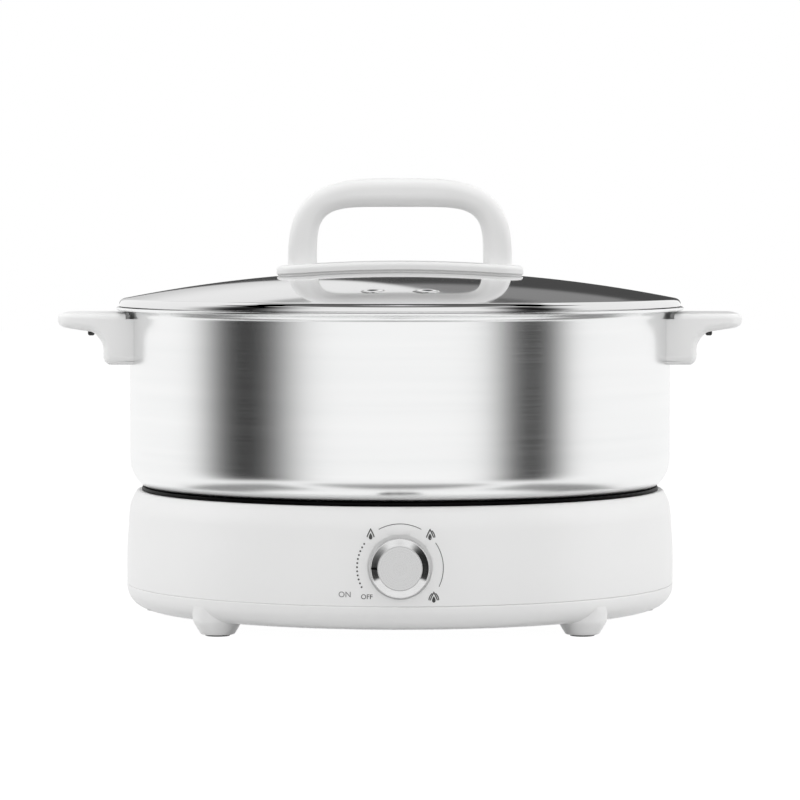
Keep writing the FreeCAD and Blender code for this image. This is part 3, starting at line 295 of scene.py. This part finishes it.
def cast_metal():
    """The heating plate's cast metal, with turned rings and fine pits."""
    finish = Finish("cast_metal")
    x, y, z = finish.axes(finish.position())
    radius = (x * x + y * y).to("SQRT")
    across = finish.node("ShaderNodeCombineXYZ", {}, {"X": radius * 1500})
    rings = finish.noise(1.0, across, detail=3)
    pits = finish.noise(700, finish.position(), detail=4)
    colour = finish.blend(pits, shade(178), shade(204))
    return finish.surface(Base_Color=colour, Metallic=1.0, Roughness=0.3 + rings * 0.2,
                          Normal=finish.bump(rings + pits, 0.00003, 0.4))


def soft_plastic(name, grey, tint, roughness, scale=500.0):
    """A plain moulding or rubber with a fine grain."""
    finish = Finish(name)
    grain = finish.noise(scale, finish.position(), detail=4)
    colour = finish.blend(grain, shade(grey - 6, tint), shade(grey + 6, tint))
    return finish.surface(Base_Color=colour, Roughness=roughness + grain * 0.1,
                          Normal=finish.bump(grain, 0.00003, 0.4))


def printed_grey(name, grey):
    """Screen-printed ink."""
    finish = Finish(name)
    speckle = finish.noise(2500, finish.position(), detail=2)
    colour = finish.blend(speckle, shade(grey - 5), shade(grey + 5))
    return finish.surface(Base_Color=colour, Roughness=0.45)


FINISHES = {
    "white_plastic": moulded_white(),
    "black_plastic": moulded_black(),
    "pot_steel": brushed_pot(),
    "lid_steel": mirror_steel(),
    "knob_metal": turned_knob(),
    "cast_aluminium": cast_metal(),
    "plated_steel": plain_steel("plated_steel", 190, 0.3),
    "dark_screw": plain_steel("dark_screw", 70, 0.35),
    "rubber_grey": soft_plastic("rubber_grey", 120, (1, 1, 1), 0.6),
    "phenolic": soft_plastic("phenolic", 70, (1, 0.8, 0.62), 0.5),
    "brass": plain_steel("brass", 200, 0.25),
    "insulation": soft_plastic("insulation", 150, (1, 0.22, 0.14), 0.5),
    "lamp_lens": soft_plastic("lamp_lens", 220, (1, 0.3, 0.12), 0.2),
    "gasket_silicone": soft_plastic("gasket_silicone", 225, (1, 1, 1), 0.5),
}
INK = printed_grey("printed_ink", 62)
PALE_INK = printed_grey("pale_ink", 128)
POLISHED = plain_steel("polished_ring", 225, 0.06)


# Pieces

def show(piece, body, slot, finish=None):
    """Puts a finished piece on a body, with its material."""
    piece.data.materials.clear()
    piece.data.materials.append(finish or FINISHES[slot])
    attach(piece, body)
    return piece


def piece_from(bm, name, crease=35):
    mesh = bpy.data.meshes.new(name)
    bm.to_mesh(mesh)
    bm.free()
    mesh.shade_smooth()
    mesh.set_sharp_from_angle(angle=math.radians(crease))
    piece = bpy.data.objects.new(name, mesh)
    bpy.context.scene.collection.objects.link(piece)
    return piece


def corner_turn(vert):
    """The angle between the two edges that meet at a corner of an outline."""
    first, second = (edge.other_vert(vert).co - vert.co for edge in vert.link_edges)
    return first.angle(second)


def lathe(outline, closed=True, steps=288):
    """Spins an outline of (radius, height, rounding) corners about the pot's axis."""
    bm = bmesh.new()
    verts = [bm.verts.new((radius, 0, height)) for radius, height, rounding in outline]
    for first, second in zip(verts, verts[1:]):
        bm.edges.new((first, second))
    if closed:
        bm.edges.new((verts[-1], verts[0]))
    for vert, (radius, height, rounding) in zip(verts, outline):
        if rounding > 0:
            turn = corner_turn(vert)
            offset = rounding / math.tan(turn / 2)
            segments = max(3, round((math.pi - turn) * 8))
            bmesh.ops.bevel(bm, geom=[vert], offset=offset, segments=segments, profile=0.5,
                            affect="VERTICES", material=-1)
    bmesh.ops.spin(bm, geom=bm.verts[:] + bm.edges[:], axis=(0, 0, 1), cent=(0, 0, 0), dvec=(0, 0, 0),
                   angle=2 * math.pi, steps=steps, use_merge=True)
    bmesh.ops.remove_doubles(bm, verts=bm.verts, dist=1e-6)
    bmesh.ops.recalc_face_normals(bm, faces=bm.faces)
    return bm


def combine(piece, shapes, operation):
    """Cuts shapes out of a piece, or joins them to it, and drops them."""
    for bm in shapes:
        tool = piece_from(bm, "tool")
        step = piece.modifiers.new("combine", "BOOLEAN")
        step.operation = operation
        step.solver = "EXACT"
        step.object = tool
        with bpy.context.temp_override(object=piece, active_object=piece):
            bpy.ops.object.modifier_apply(modifier=step.name)
        bpy.data.objects.remove(tool)


def smoothed(node, crease=32, finish=None):
    """A CAD node's own shape with its facets joined and shaded smooth."""
    source = frame["nodes"][node]
    bm = bmesh.new()
    bm.from_mesh(source.data)
    bmesh.ops.remove_doubles(bm, verts=bm.verts, dist=2e-6)
    piece = piece_from(bm, node + "_skin", crease)
    weigh = piece.modifiers.new("weigh", "WEIGHTED_NORMAL")
    weigh.keep_sharp = True
    weigh.weight = 60
    with bpy.context.temp_override(object=piece, active_object=piece):
        bpy.ops.object.modifier_apply(modifier=weigh.name)
    show(piece, body_of_node[node], slot_of_node[node], finish)
    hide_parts(node)
    return piece


def even_wall(piece):
    """Shades the base's outer wall as the smooth turned face it is, whatever its triangles are."""
    mesh = piece.data
    low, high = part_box("base_housing")
    lean = math.atan2(WALL_INSET, high[2] - low[2] - WALL_STRAIGHT - SHOULDER)
    ease = WALL_BEND * math.tan(lean / 2)
    bend_z = low[2] + WALL_STRAIGHT
    inmost = high[0] - WALL_INSET - 0.4 * MM
    slack = 0.02
    normals = [corner.vector.copy() for corner in mesh.corner_normals]
    for face in mesh.polygons:
        out = Vector((face.center.x, face.center.y, 0))
        if out.length < inmost or face.normal.dot(out.normalized()) < 0.99:
            continue
        if not -slack <= face.normal.z <= math.sin(lean) + slack:
            continue
        for index in face.loop_indices:
            place = mesh.vertices[mesh.loops[index].vertex_index].co
            share = min(max((place.z - bend_z + ease) / (2 * ease), 0), 1)
            flat = Vector((place.x, place.y, 0)).normalized()
            normals[index] = flat * math.cos(lean * share) + Vector((0, 0, math.sin(lean * share)))
    mesh.normals_split_custom_set(normals)


def press_spring(piece):
    """Gives the spring a mesh of its own, left in the shape it has."""
    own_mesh(piece)


def side_grip(node, side):
    """A side grip whose underside is drawn up toward its tip and whose leg is drawn in."""
    piece = smoothed(node)
    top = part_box(node)[1][2]
    for vert in piece.data.vertices:
        reach = vert.co.x * side
        under = min(max((top - vert.co.z) / GRIP_THICK, 0), 1)
        out = min(max((reach - LEG_FACE + LEG_DEPTH) / LEG_DEPTH, 0), 1)
        vert.co.x -= side * LEG_SHIFT * out
        tip = min(max((reach - LEG_FACE - 1 * MM) / GRIP_EASE, 0), 1)
        vert.co.z += GRIP_LIFT * tip * tip * (3 - 2 * tip) * under
    piece.data.update()


def dome_height(radius, drop=0.0):
    """How high the lid's dome is at a radius, with the ball it lies on made smaller by a drop."""
    centre = LID_HIGH[2] - DOME_R
    return centre + math.sqrt((DOME_R - drop) ** 2 - radius ** 2)


def pot():
    """The pressed pot with its rounded lower edge and flared rim."""
    rim_z = POT_HIGH[2]
    low = POT_LOW[2]
    rim = POT_HIGH[0]
    wall = rim - RIM_REACH
    inner = wall - POT_SHEET
    outline = [(0, low, 0), (wall, low, 20 * MM), (wall, rim_z - 2.5 * MM, 4 * MM),
               (rim, rim_z - 1.9 * MM, 0.9 * MM), (rim, rim_z, 0.9 * MM), (inner, rim_z - 0.9 * MM, 5 * MM),
               (inner, low + POT_SHEET, 19 * MM), (0, low + POT_SHEET, 0)]
    piece = piece_from(lathe(outline, closed=False), "pot_wall")
    show(piece, "pot", "pot_steel")
    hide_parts("pot_shell")


def vent_tools():
    """Ball and drill shapes for the two dished steam vents."""
    tools = []
    for x in (-VENT_X, VENT_X):
        radius = math.hypot(x, VENT_Y)
        lean = math.asin(radius / DOME_R)
        turn = Matrix.Rotation(lean, 4, Vector((-VENT_Y, x, 0)))
        place = Matrix.Translation((x, VENT_Y, dome_height(radius)))
        above = Matrix.Translation((0, 0, VENT_BALL - VENT_DEPTH))
        ball = bmesh.new()
        bmesh.ops.create_uvsphere(ball, u_segments=96, v_segments=96, radius=VENT_BALL)
        bmesh.ops.transform(ball, verts=ball.verts, matrix=place @ turn @ above)
        drill = bmesh.new()
        bmesh.ops.create_cone(drill, cap_ends=True, segments=32, radius1=VENT_HOLE, radius2=VENT_HOLE,
                              depth=12 * MM)
        bmesh.ops.transform(drill, verts=drill.verts, matrix=place @ turn)
        tools += [ball, drill]
    return tools


def lid():
    """The domed lid: a ball's cap, a rolled edge and a skirt that drops inside the pot."""
    rings = 64
    low = LID_LOW[2]
    edge_z = low + 5.8 * MM
    corner = 4 * MM
    turn_r = LID_R - corner
    reach = turn_r * DOME_R / (DOME_R - corner)
    outer = [(reach * i / rings, dome_height(reach * i / rings), 0) for i in range(rings)]
    outer += [(LID_R, dome_height(LID_R) + 0.1 * MM, 4.0 * MM), (LID_R, edge_z, 0.3 * MM)]
    inner_r = LID_R - LID_SHEET
    inner = [(inner_r, edge_z, 0.3 * MM), (inner_r, dome_height(inner_r, LID_SHEET), 3 * MM)]
    skirt_top = dome_height(SKIRT_R, LID_SHEET)
    skirt_in = SKIRT_R - LID_SHEET
    inner += [(SKIRT_R, skirt_top, 0), (SKIRT_R, low, 0), (skirt_in, low, 0), (skirt_in, skirt_top, 0)]
    under = [(SKIRT_R - 2 * LID_SHEET) * i / rings for i in range(rings, -1, -1)]
    inner += [(radius, dome_height(radius, LID_SHEET), 0) for radius in under]
    piece = piece_from(lathe(outer + inner, closed=False, steps=360), "lid_dome")
    combine(piece, vent_tools(), "DIFFERENCE")
    piece.data.shade_smooth()
    piece.data.set_sharp_from_angle(angle=math.radians(25))
    show(piece, "lid", "lid_steel")
    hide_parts("lid_panel")


def bow_line(half, rise, power, foot_z, steps):
    """Half of a rounded arch from its crown down to its foot, as (x, z) places on a superellipse."""
    places = []
    for i in range(steps + 1):
        turn = math.pi / 2 * i / steps
        x = half * math.sin(turn) ** (2 / power)
        z = foot_z + rise * max(math.cos(turn), 0.0) ** (2 / power)
        places.append((x, z))
    return places


def arch_shape():
    """The handle's bow: a bar with rounded edges, bent over in a soft arch."""
    foot_z = LID_HIGH[2] - 2 * MM
    crown = ARCH_TOP - foot_z
    outer = bow_line(ARCH_HALF, crown, OUTER_SQUARENESS, foot_z, 56)
    inner = bow_line(ARCH_HALF - ARCH_BAR, crown - ARCH_BAR, INNER_SQUARENESS, foot_z, 56)
    loop = [(-x, z) for x, z in reversed(outer)] + outer[1:]
    loop += list(reversed(inner)) + [(-x, z) for x, z in inner[1:]]
    bm = bmesh.new()
    face = bm.faces.new([bm.verts.new((x, -ARCH_DEPTH / 2, z)) for x, z in loop])
    made = bmesh.ops.extrude_face_region(bm, geom=[face])
    moved = [item for item in made["geom"] if isinstance(item, bmesh.types.BMVert)]
    bmesh.ops.translate(bm, verts=moved, vec=(0, ARCH_DEPTH, 0))
    rims = [edge for edge in bm.edges if abs(edge.verts[0].co.y - edge.verts[1].co.y) < 1e-6
            and max(vert.co.z for vert in edge.verts) > foot_z + 1e-5]
    bmesh.ops.bevel(bm, geom=rims, offset=ARCH_EDGE, segments=8, profile=0.5, affect="EDGES", material=-1,
                    clamp_overlap=True)
    bmesh.ops.recalc_face_normals(bm, faces=bm.faces)
    return bm


def flange_shape():
    """The oval foot of the handle, which follows the dome and has rounded edges."""
    centre = FLANGE_HALF - FLANGE_SIDE
    profile = [(0.8 * MM, 0.6 * MM), (0.0, 1.4 * MM)]
    for i in range(7):
        turn = math.pi / 2 * i / 6
        inset = FLANGE_EDGE * (1 - math.cos(turn))
        profile.append((inset, FLANGE_THICK - FLANGE_EDGE * (1 - math.sin(turn))))
    profile += [(FLANGE_SIDE * share, FLANGE_THICK) for share in (0.3, 0.5, 0.75)]
    columns = [(centre, math.pi / 2 - math.pi * i / 40) for i in range(41)]
    columns += [(centre - 2 * centre * i / 24, -math.pi / 2) for i in range(1, 24)]
    columns += [(-centre, -math.pi / 2 - math.pi * i / 40) for i in range(41)]
    columns += [(-centre + 2 * centre * i / 24, math.pi / 2) for i in range(1, 24)]
    bm = bmesh.new()
    rings = []
    for inset, height in profile:
        ring = []
        reach = FLANGE_SIDE - inset
        for x, turn in columns:
            place = Vector((x + reach * math.cos(turn), reach * math.sin(turn), 0))
            place.z = dome_height(place.length) + height
            ring.append(bm.verts.new(place))
        rings.append(ring)
    for low, high in zip(rings, rings[1:]):
        for i in range(len(low)):
            j = (i + 1) % len(low)
            bm.faces.new((low[i], low[j], high[j], high[i]))
    top = bm.faces.new(rings[-1])
    under = bm.faces.new(list(reversed(rings[0])))
    bmesh.ops.triangulate(bm, faces=[top, under])
    bmesh.ops.recalc_face_normals(bm, faces=bm.faces)
    return bm


def lid_grip():
    """The lid's handle: the arch joined to its oval foot."""
    piece = piece_from(flange_shape(), "lid_grip", 40)
    combine(piece, [arch_shape()], "UNION")
    piece.data.shade_smooth()
    piece.data.set_sharp_from_angle(angle=math.radians(40))
    show(piece, "lid", "white_plastic")
    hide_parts("lid_handle")


def on_knob(bm):
    """Turns a shape spun about +Z so that it faces the front at the knob's place."""
    back = KNOB_HIGH[1]
    bmesh.ops.transform(bm, verts=bm.verts,
                        matrix=Matrix.Translation((0, back, KNOB_Z)) @ Matrix.Rotation(math.pi / 2, 4, "X"))
    return bm


def knob():
    """The turned ring with its polished bevel, and the brushed cap set into it."""
    height = KNOB_HIGH[1] - KNOB_LOW[1]
    reach = (KNOB_HIGH[0] - KNOB_LOW[0]) / 2
    cap = reach - 4.2 * MM
    floor = height - 1.4 * MM
    ring = [(reach - 2 * MM, 0, 0), (reach, 0, 0.3 * MM), (reach, height - 2.1 * MM, 0.5 * MM),
            (reach - 0.6 * MM, height - 2.1 * MM, 0), (cap + 1.8 * MM, height - 1.07 * MM, 30 * MM),
            (cap, height, 0.1 * MM), (cap, floor, 0), (0, floor, 0), (0, 2 * MM, 0),
            (reach - 2 * MM, 2 * MM, 0)]
    body = piece_from(on_knob(lathe(ring, closed=False, steps=192)), "knob_ring", 20)
    show(body, "knob", "knob_metal", POLISHED)
    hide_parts("knob_body")
    disc = [(0, floor, 0), (cap - 0.08 * MM, floor, 0), (cap - 0.08 * MM, height - 0.25 * MM, 0.15 * MM),
            (0, height - 0.25 * MM, 0)]
    face = piece_from(on_knob(lathe(disc, closed=False, steps=192)), "knob_face", 20)
    show(face, "knob", "knob_metal")
    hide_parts("knob_cap")


# Printing round the knob

def to_wall(piece):
    """Wraps flat printing onto the curved front of the base, a hair proud of it."""
    wrap = piece.modifiers.new("wrap", "SHRINKWRAP")
    wrap.target = frame["nodes"]["base_housing"]
    wrap.wrap_method = "PROJECT"
    wrap.use_project_x = False
    wrap.use_project_y = True
    wrap.use_project_z = False
    wrap.use_positive_direction = True
    wrap.use_negative_direction = True
    wrap.offset = PRINT_STANDS
    with bpy.context.temp_override(object=piece, active_object=piece):
        bpy.ops.object.modifier_apply(modifier=wrap.name)


def on_dial(radius, degrees):
    """A place in front of the wall, at a radius and an angle from the middle of the printing."""
    turn = math.radians(degrees)
    return Vector((radius * math.cos(turn), DIAL_Y, DIAL_Z + radius * math.sin(turn)))


def dial_arc(bm, radius, start, end, width=0.36 * MM):
    """A line of print that bends round the knob."""
    verts = [bm.verts.new(on_dial(radius + side * width / 2, start)) for side in (-1, 1)]
    edge = bm.edges.new(verts)
    bmesh.ops.spin(bm, geom=verts + [edge], axis=(0, -1, 0), cent=(0, 0, DIAL_Z), dvec=(0, 0, 0),
                   angle=math.radians(end - start), steps=40)


def dial_dots(bm, radius, start, end, count, size=0.52 * MM):
    """A row of printed dots that bends round the knob."""
    for i in range(count):
        place = on_dial(radius, start + (end - start) * i / (count - 1))
        bmesh.ops.create_circle(bm, cap_ends=True, segments=14, radius=size,
                                matrix=Matrix.Translation(place) @ Matrix.Rotation(math.pi / 2, 4, "X"))


def droplet(bm, centre, height):
    """A solid drop: round below, with its sides drawn up to a point."""
    steps = 24
    points = []
    for i in range(steps):
        turn = 2 * math.pi * i / steps
        width = 0.36 * height * math.sin(turn) * math.sin(turn / 2)
        points.append(centre + Vector((width, 0, 0.5 * height * math.cos(turn))))
    bm.faces.new([bm.verts.new(point) for point in points])


def tongue(bm, centre, height, lean, width=0.5 * MM):
    """Two strokes that meet in a point, like an arrowhead bowed outwards."""
    steps = 8
    for side in (-1, 1):
        inner = []
        outer = []
        for i in range(steps + 1):
            along = i / steps
            reach = lean * height * (0.5 * along + 0.22 * math.sin(math.pi * along * 0.5))
            fall = height * (0.5 - 0.78 * along)
            inside = Vector((side * max(reach - width, 0), 0, fall - 0.4 * width))
            inner.append(bm.verts.new(centre + inside))
            outer.append(bm.verts.new(centre + Vector((side * reach, 0, fall + 0.4 * width))))
        for i in range(steps):
            bm.faces.new((inner[i], outer[i], outer[i + 1], inner[i + 1]))


def flame(bm, centre, height, sides):
    """A drop under a bowed point, with a further stroke on each of the stated sides."""
    droplet(bm, centre - Vector((0, 0, 0.2 * height)), 0.58 * height)
    tongue(bm, centre, height, 0.5)
    for side in sides:
        stroke(bm, centre, height, side)


def stroke(bm, centre, height, side, width=0.5 * MM):
    """One bowed stroke beside a flame."""
    steps = 8
    inner = []
    outer = []
    for i in range(steps + 1):
        along = i / steps
        reach = height * (0.2 + 0.28 * along + 0.07 * math.sin(math.pi * along))
        fall = height * (0.34 - 0.62 * along)
        inner.append(bm.verts.new(centre + Vector((side * (reach - width), 0, fall - 0.3 * width))))
        outer.append(bm.verts.new(centre + Vector((side * reach, 0, fall + 0.3 * width))))
    for i in range(steps):
        bm.faces.new((inner[i], outer[i], outer[i + 1], inner[i + 1]))


def dial_print():
    """The printed lines, dots and flames round the knob."""
    bm = bmesh.new()
    dial_arc(bm, 24.3 * MM, 61, 119)
    dial_arc(bm, 24.0 * MM, -26, 35)
    dial_dots(bm, 23.8 * MM, 146.3, 206.8, 12)
    for degrees, sides in ((131, ()), (48, (1,)), (-41, (-1, 1))):
        flame(bm, on_dial(24.8 * MM, degrees), 6.2 * MM, sides)
    piece = piece_from(bm, "dial_print")
    to_wall(piece)
    show(piece, "base", "white_plastic", INK)


def word(text, centre, height, finish, name):
    """A short plain word printed on the front wall."""
    curve = bpy.data.curves.new(name, "FONT")
    curve.body = text
    curve.size = height * 1.4
    curve.align_x = "CENTER"
    curve.align_y = "CENTER"
    curve.resolution_u = 6
    source = bpy.data.objects.new(name, curve)
    bpy.context.scene.collection.objects.link(source)
    bpy.context.view_layer.update()
    mesh = bpy.data.meshes.new_from_object(source.evaluated_get(bpy.context.evaluated_depsgraph_get()))
    bpy.data.objects.remove(source)
    mesh.transform(Matrix.Translation(centre) @ Matrix.Rotation(math.pi / 2, 4, "X"))
    piece = bpy.data.objects.new(name, mesh)
    bpy.context.scene.collection.objects.link(piece)
    to_wall(piece)
    show(piece, "base", "white_plastic", finish)


# The setting

def floor():
    """A plain floor that the camera sees as white, with the object's shadow on it."""
    bm = bmesh.new()
    bmesh.ops.create_grid(bm, x_segments=1, y_segments=1, size=6)
    piece = piece_from(bm, "floor")
    finish = Finish("floor")
    seen = finish.node("ShaderNodeLightPath")
    glow = finish.node("ShaderNodeEmission", {}, {"Color": (1, 1, 1, 1), "Strength": GLOW})
    matte = finish.node("ShaderNodeBsdfDiffuse", {}, {"Color": shade(215)})
    mixed = finish.node("ShaderNodeMixShader", {}, {0: seen * 0.9, 1: matte, 2: glow})
    finish.tree.links.new(mixed.socket, finish.output.inputs["Surface"])
    piece.data.materials.append(finish.block)
    piece.visible_glossy = False


def ramp(finish, value, low, high):
    """0 below one value and 1 above another, smooth in between."""
    return finish.node("ShaderNodeMapRange", {"interpolation_type": "SMOOTHSTEP"},
                       {"Value": value, "From Min": low, "From Max": high, "To Min": 0.0, "To Max": 1.0})


def band(finish, value, low, high, soft):
    """1 between two values and 0 outside them, with soft ends."""
    starts = ramp(finish, value, low - soft, low + soft)
    return starts * (1.0 - ramp(finish, value, high - soft, high + soft))


def front_panels(finish, azimuth, rise):
    """Two tall dark flags beside the camera, and two high ones further round for the lid's rolled edge."""
    left, right = [(-1.0 * ((azimuth - middle) / half).to("ABSOLUTE").to("POWER", 3.0)).to("EXPONENT")
                   for middle, half in (LEFT_FLAG, RIGHT_FLAG)]
    level = (left + right) * band(finish, rise, *FLAG_RISE, 2.5)
    high = band(finish, azimuth.to("ABSOLUTE"), 72, 108, 3) * band(finish, rise, 46, 62, 2.5)
    return level * 1.005 + high * 0.9


def behind(finish, azimuth, rise):
    """What the lid shows: a pale wall on the left, a dark one on the right, with a level bar above."""
    edge = 0.34 * rise - 5.4
    right = ramp(finish, azimuth - edge, -0.25, 0.25)
    pale = 0.05 + ramp(finish, rise, 1.0, 2.4) * 0.6 + ramp(finish, rise, 5, 14) * 0.25
    slant = rise + azimuth * 0.4
    dark = 0.07 + ramp(finish, slant, 14, 16) * 0.19
    wall = pale + (dark - pale) * right
    bars = band(finish, rise, 20, 21.8, 0.5) * 0.55
    return wall * (1.0 - bars)


def surroundings():
    """White for the eye. What shines sees dark flags in front, a split wall behind and dark bands above
    and below."""
    finish = Finish("surroundings", world=True)
    toward = finish.node("ShaderNodeTexCoord", output=0)
    x, y, z = finish.axes(toward)
    rise = z.to("ARCSINE") * (180 / math.pi)
    to_front = x.to("ARCTAN2", -1.0 * y) * (180 / math.pi)
    to_back = x.to("ARCTAN2", y) * (180 / math.pi)
    is_back = band(finish, to_back, -11, 11, 1) * band(finish, rise, 0.3, 24.2, 0.6) * (y > 0.0)
    ceiling = band(finish, rise, 58, 82, 3) * 0.85
    beside_knob = band(finish, -1.0 * y, 0.38, 0.58, 0.02)
    foot = band(finish, rise, -54, -36, 2) * (1.0 - beside_knob) * 0.75
    front = 1.02 - front_panels(finish, to_front, rise) - ceiling - foot
    shine = front + (behind(finish, to_back, rise) - front) * is_back
    slant = rise - to_back.to("ABSOLUTE") * 0.7
    high_back = band(finish, slant, 33, 70, 1) * (y > 0.0)
    shine = shine + (0.12 - shine) * high_back
    path = finish.node("ShaderNodeLightPath")
    outputs = path.socket.node.outputs
    camera = Value(finish, outputs["Is Camera Ray"])
    glossy = Value(finish, outputs["Is Glossy Ray"])
    level = camera + (1.0 - camera) * (glossy * shine + (1.0 - glossy) * AMBIENT)
    light = finish.node("ShaderNodeBackground", {}, {"Color": (1, 1, 1, 1), "Strength": level})
    finish.tree.links.new(light.socket, finish.output.inputs["Surface"])
    bpy.context.scene.world = finish.block


def lamp(name, place, aim, size, power):
    """A soft box that shines on the object and isn't mirrored in it."""
    data = bpy.data.lights.new(name, "AREA")
    data.shape = "RECTANGLE"
    data.size, data.size_y = size
    data.energy = power
    source = bpy.data.objects.new(name, data)
    source.location = place
    source.rotation_euler = (Vector(aim) - Vector(place)).to_track_quat("-Z", "Y").to_euler()
    source.visible_glossy = False
    bpy.context.scene.collection.objects.link(source)


def camera():
    data = bpy.data.cameras.new("camera")
    data.sensor_width = SENSOR
    data.lens = FOCAL_PIXELS / FRAME_PIXELS * SENSOR
    data.clip_end = 50
    view = bpy.data.objects.new("camera", data)
    view.location = (0, -CAMERA_BACK, CAMERA_HEIGHT)
    view.rotation_euler = (math.pi / 2 - CAMERA_TILT, 0, 0)
    bpy.context.scene.collection.objects.link(view)
    bpy.context.scene.camera = view


camera()
surroundings()
floor()
lamp("left_softbox", (-1.8, -0.2, 1.0), (0, 0, 0.12), (1.6, 1.6), 13)
lamp("right_softbox", (1.8, -0.2, 1.0), (0, 0, 0.12), (1.6, 1.6), 13)
lamp("top_softbox", (0, 0, 2.2), (0, 0, 0.1), (2.0, 2.0), 16)
lamp("front_softbox", (0, -3.2, 0.9), (0, 0, 0.1), (2.4, 1.6), 15)

pot()
lid()
lid_grip()
knob()
side_grip("side_handle_right", 1)
side_grip("side_handle_left", -1)
own_shapes = {"pot_shell", "lid_panel", "knob_body", "knob_cap", "lid_handle", "side_handle_right",
              "side_handle_left"}
for node in frame["nodes"]:
    if node not in own_shapes:
        skin = smoothed(node)
        if node == "base_housing":
            even_wall(skin)
        if node == "sensor_spring":
            press_spring(skin)
dial_print()
word("OFF", on_dial(24.5 * MM, 221.4), 2.7 * MM, INK, "off_print")
word("ON", Vector((-30.6 * MM, DIAL_Y, 28.5 * MM)), 3.2 * MM, PALE_INK, "on_print")

bpy.context.scene.view_settings.view_transform = "Standard"
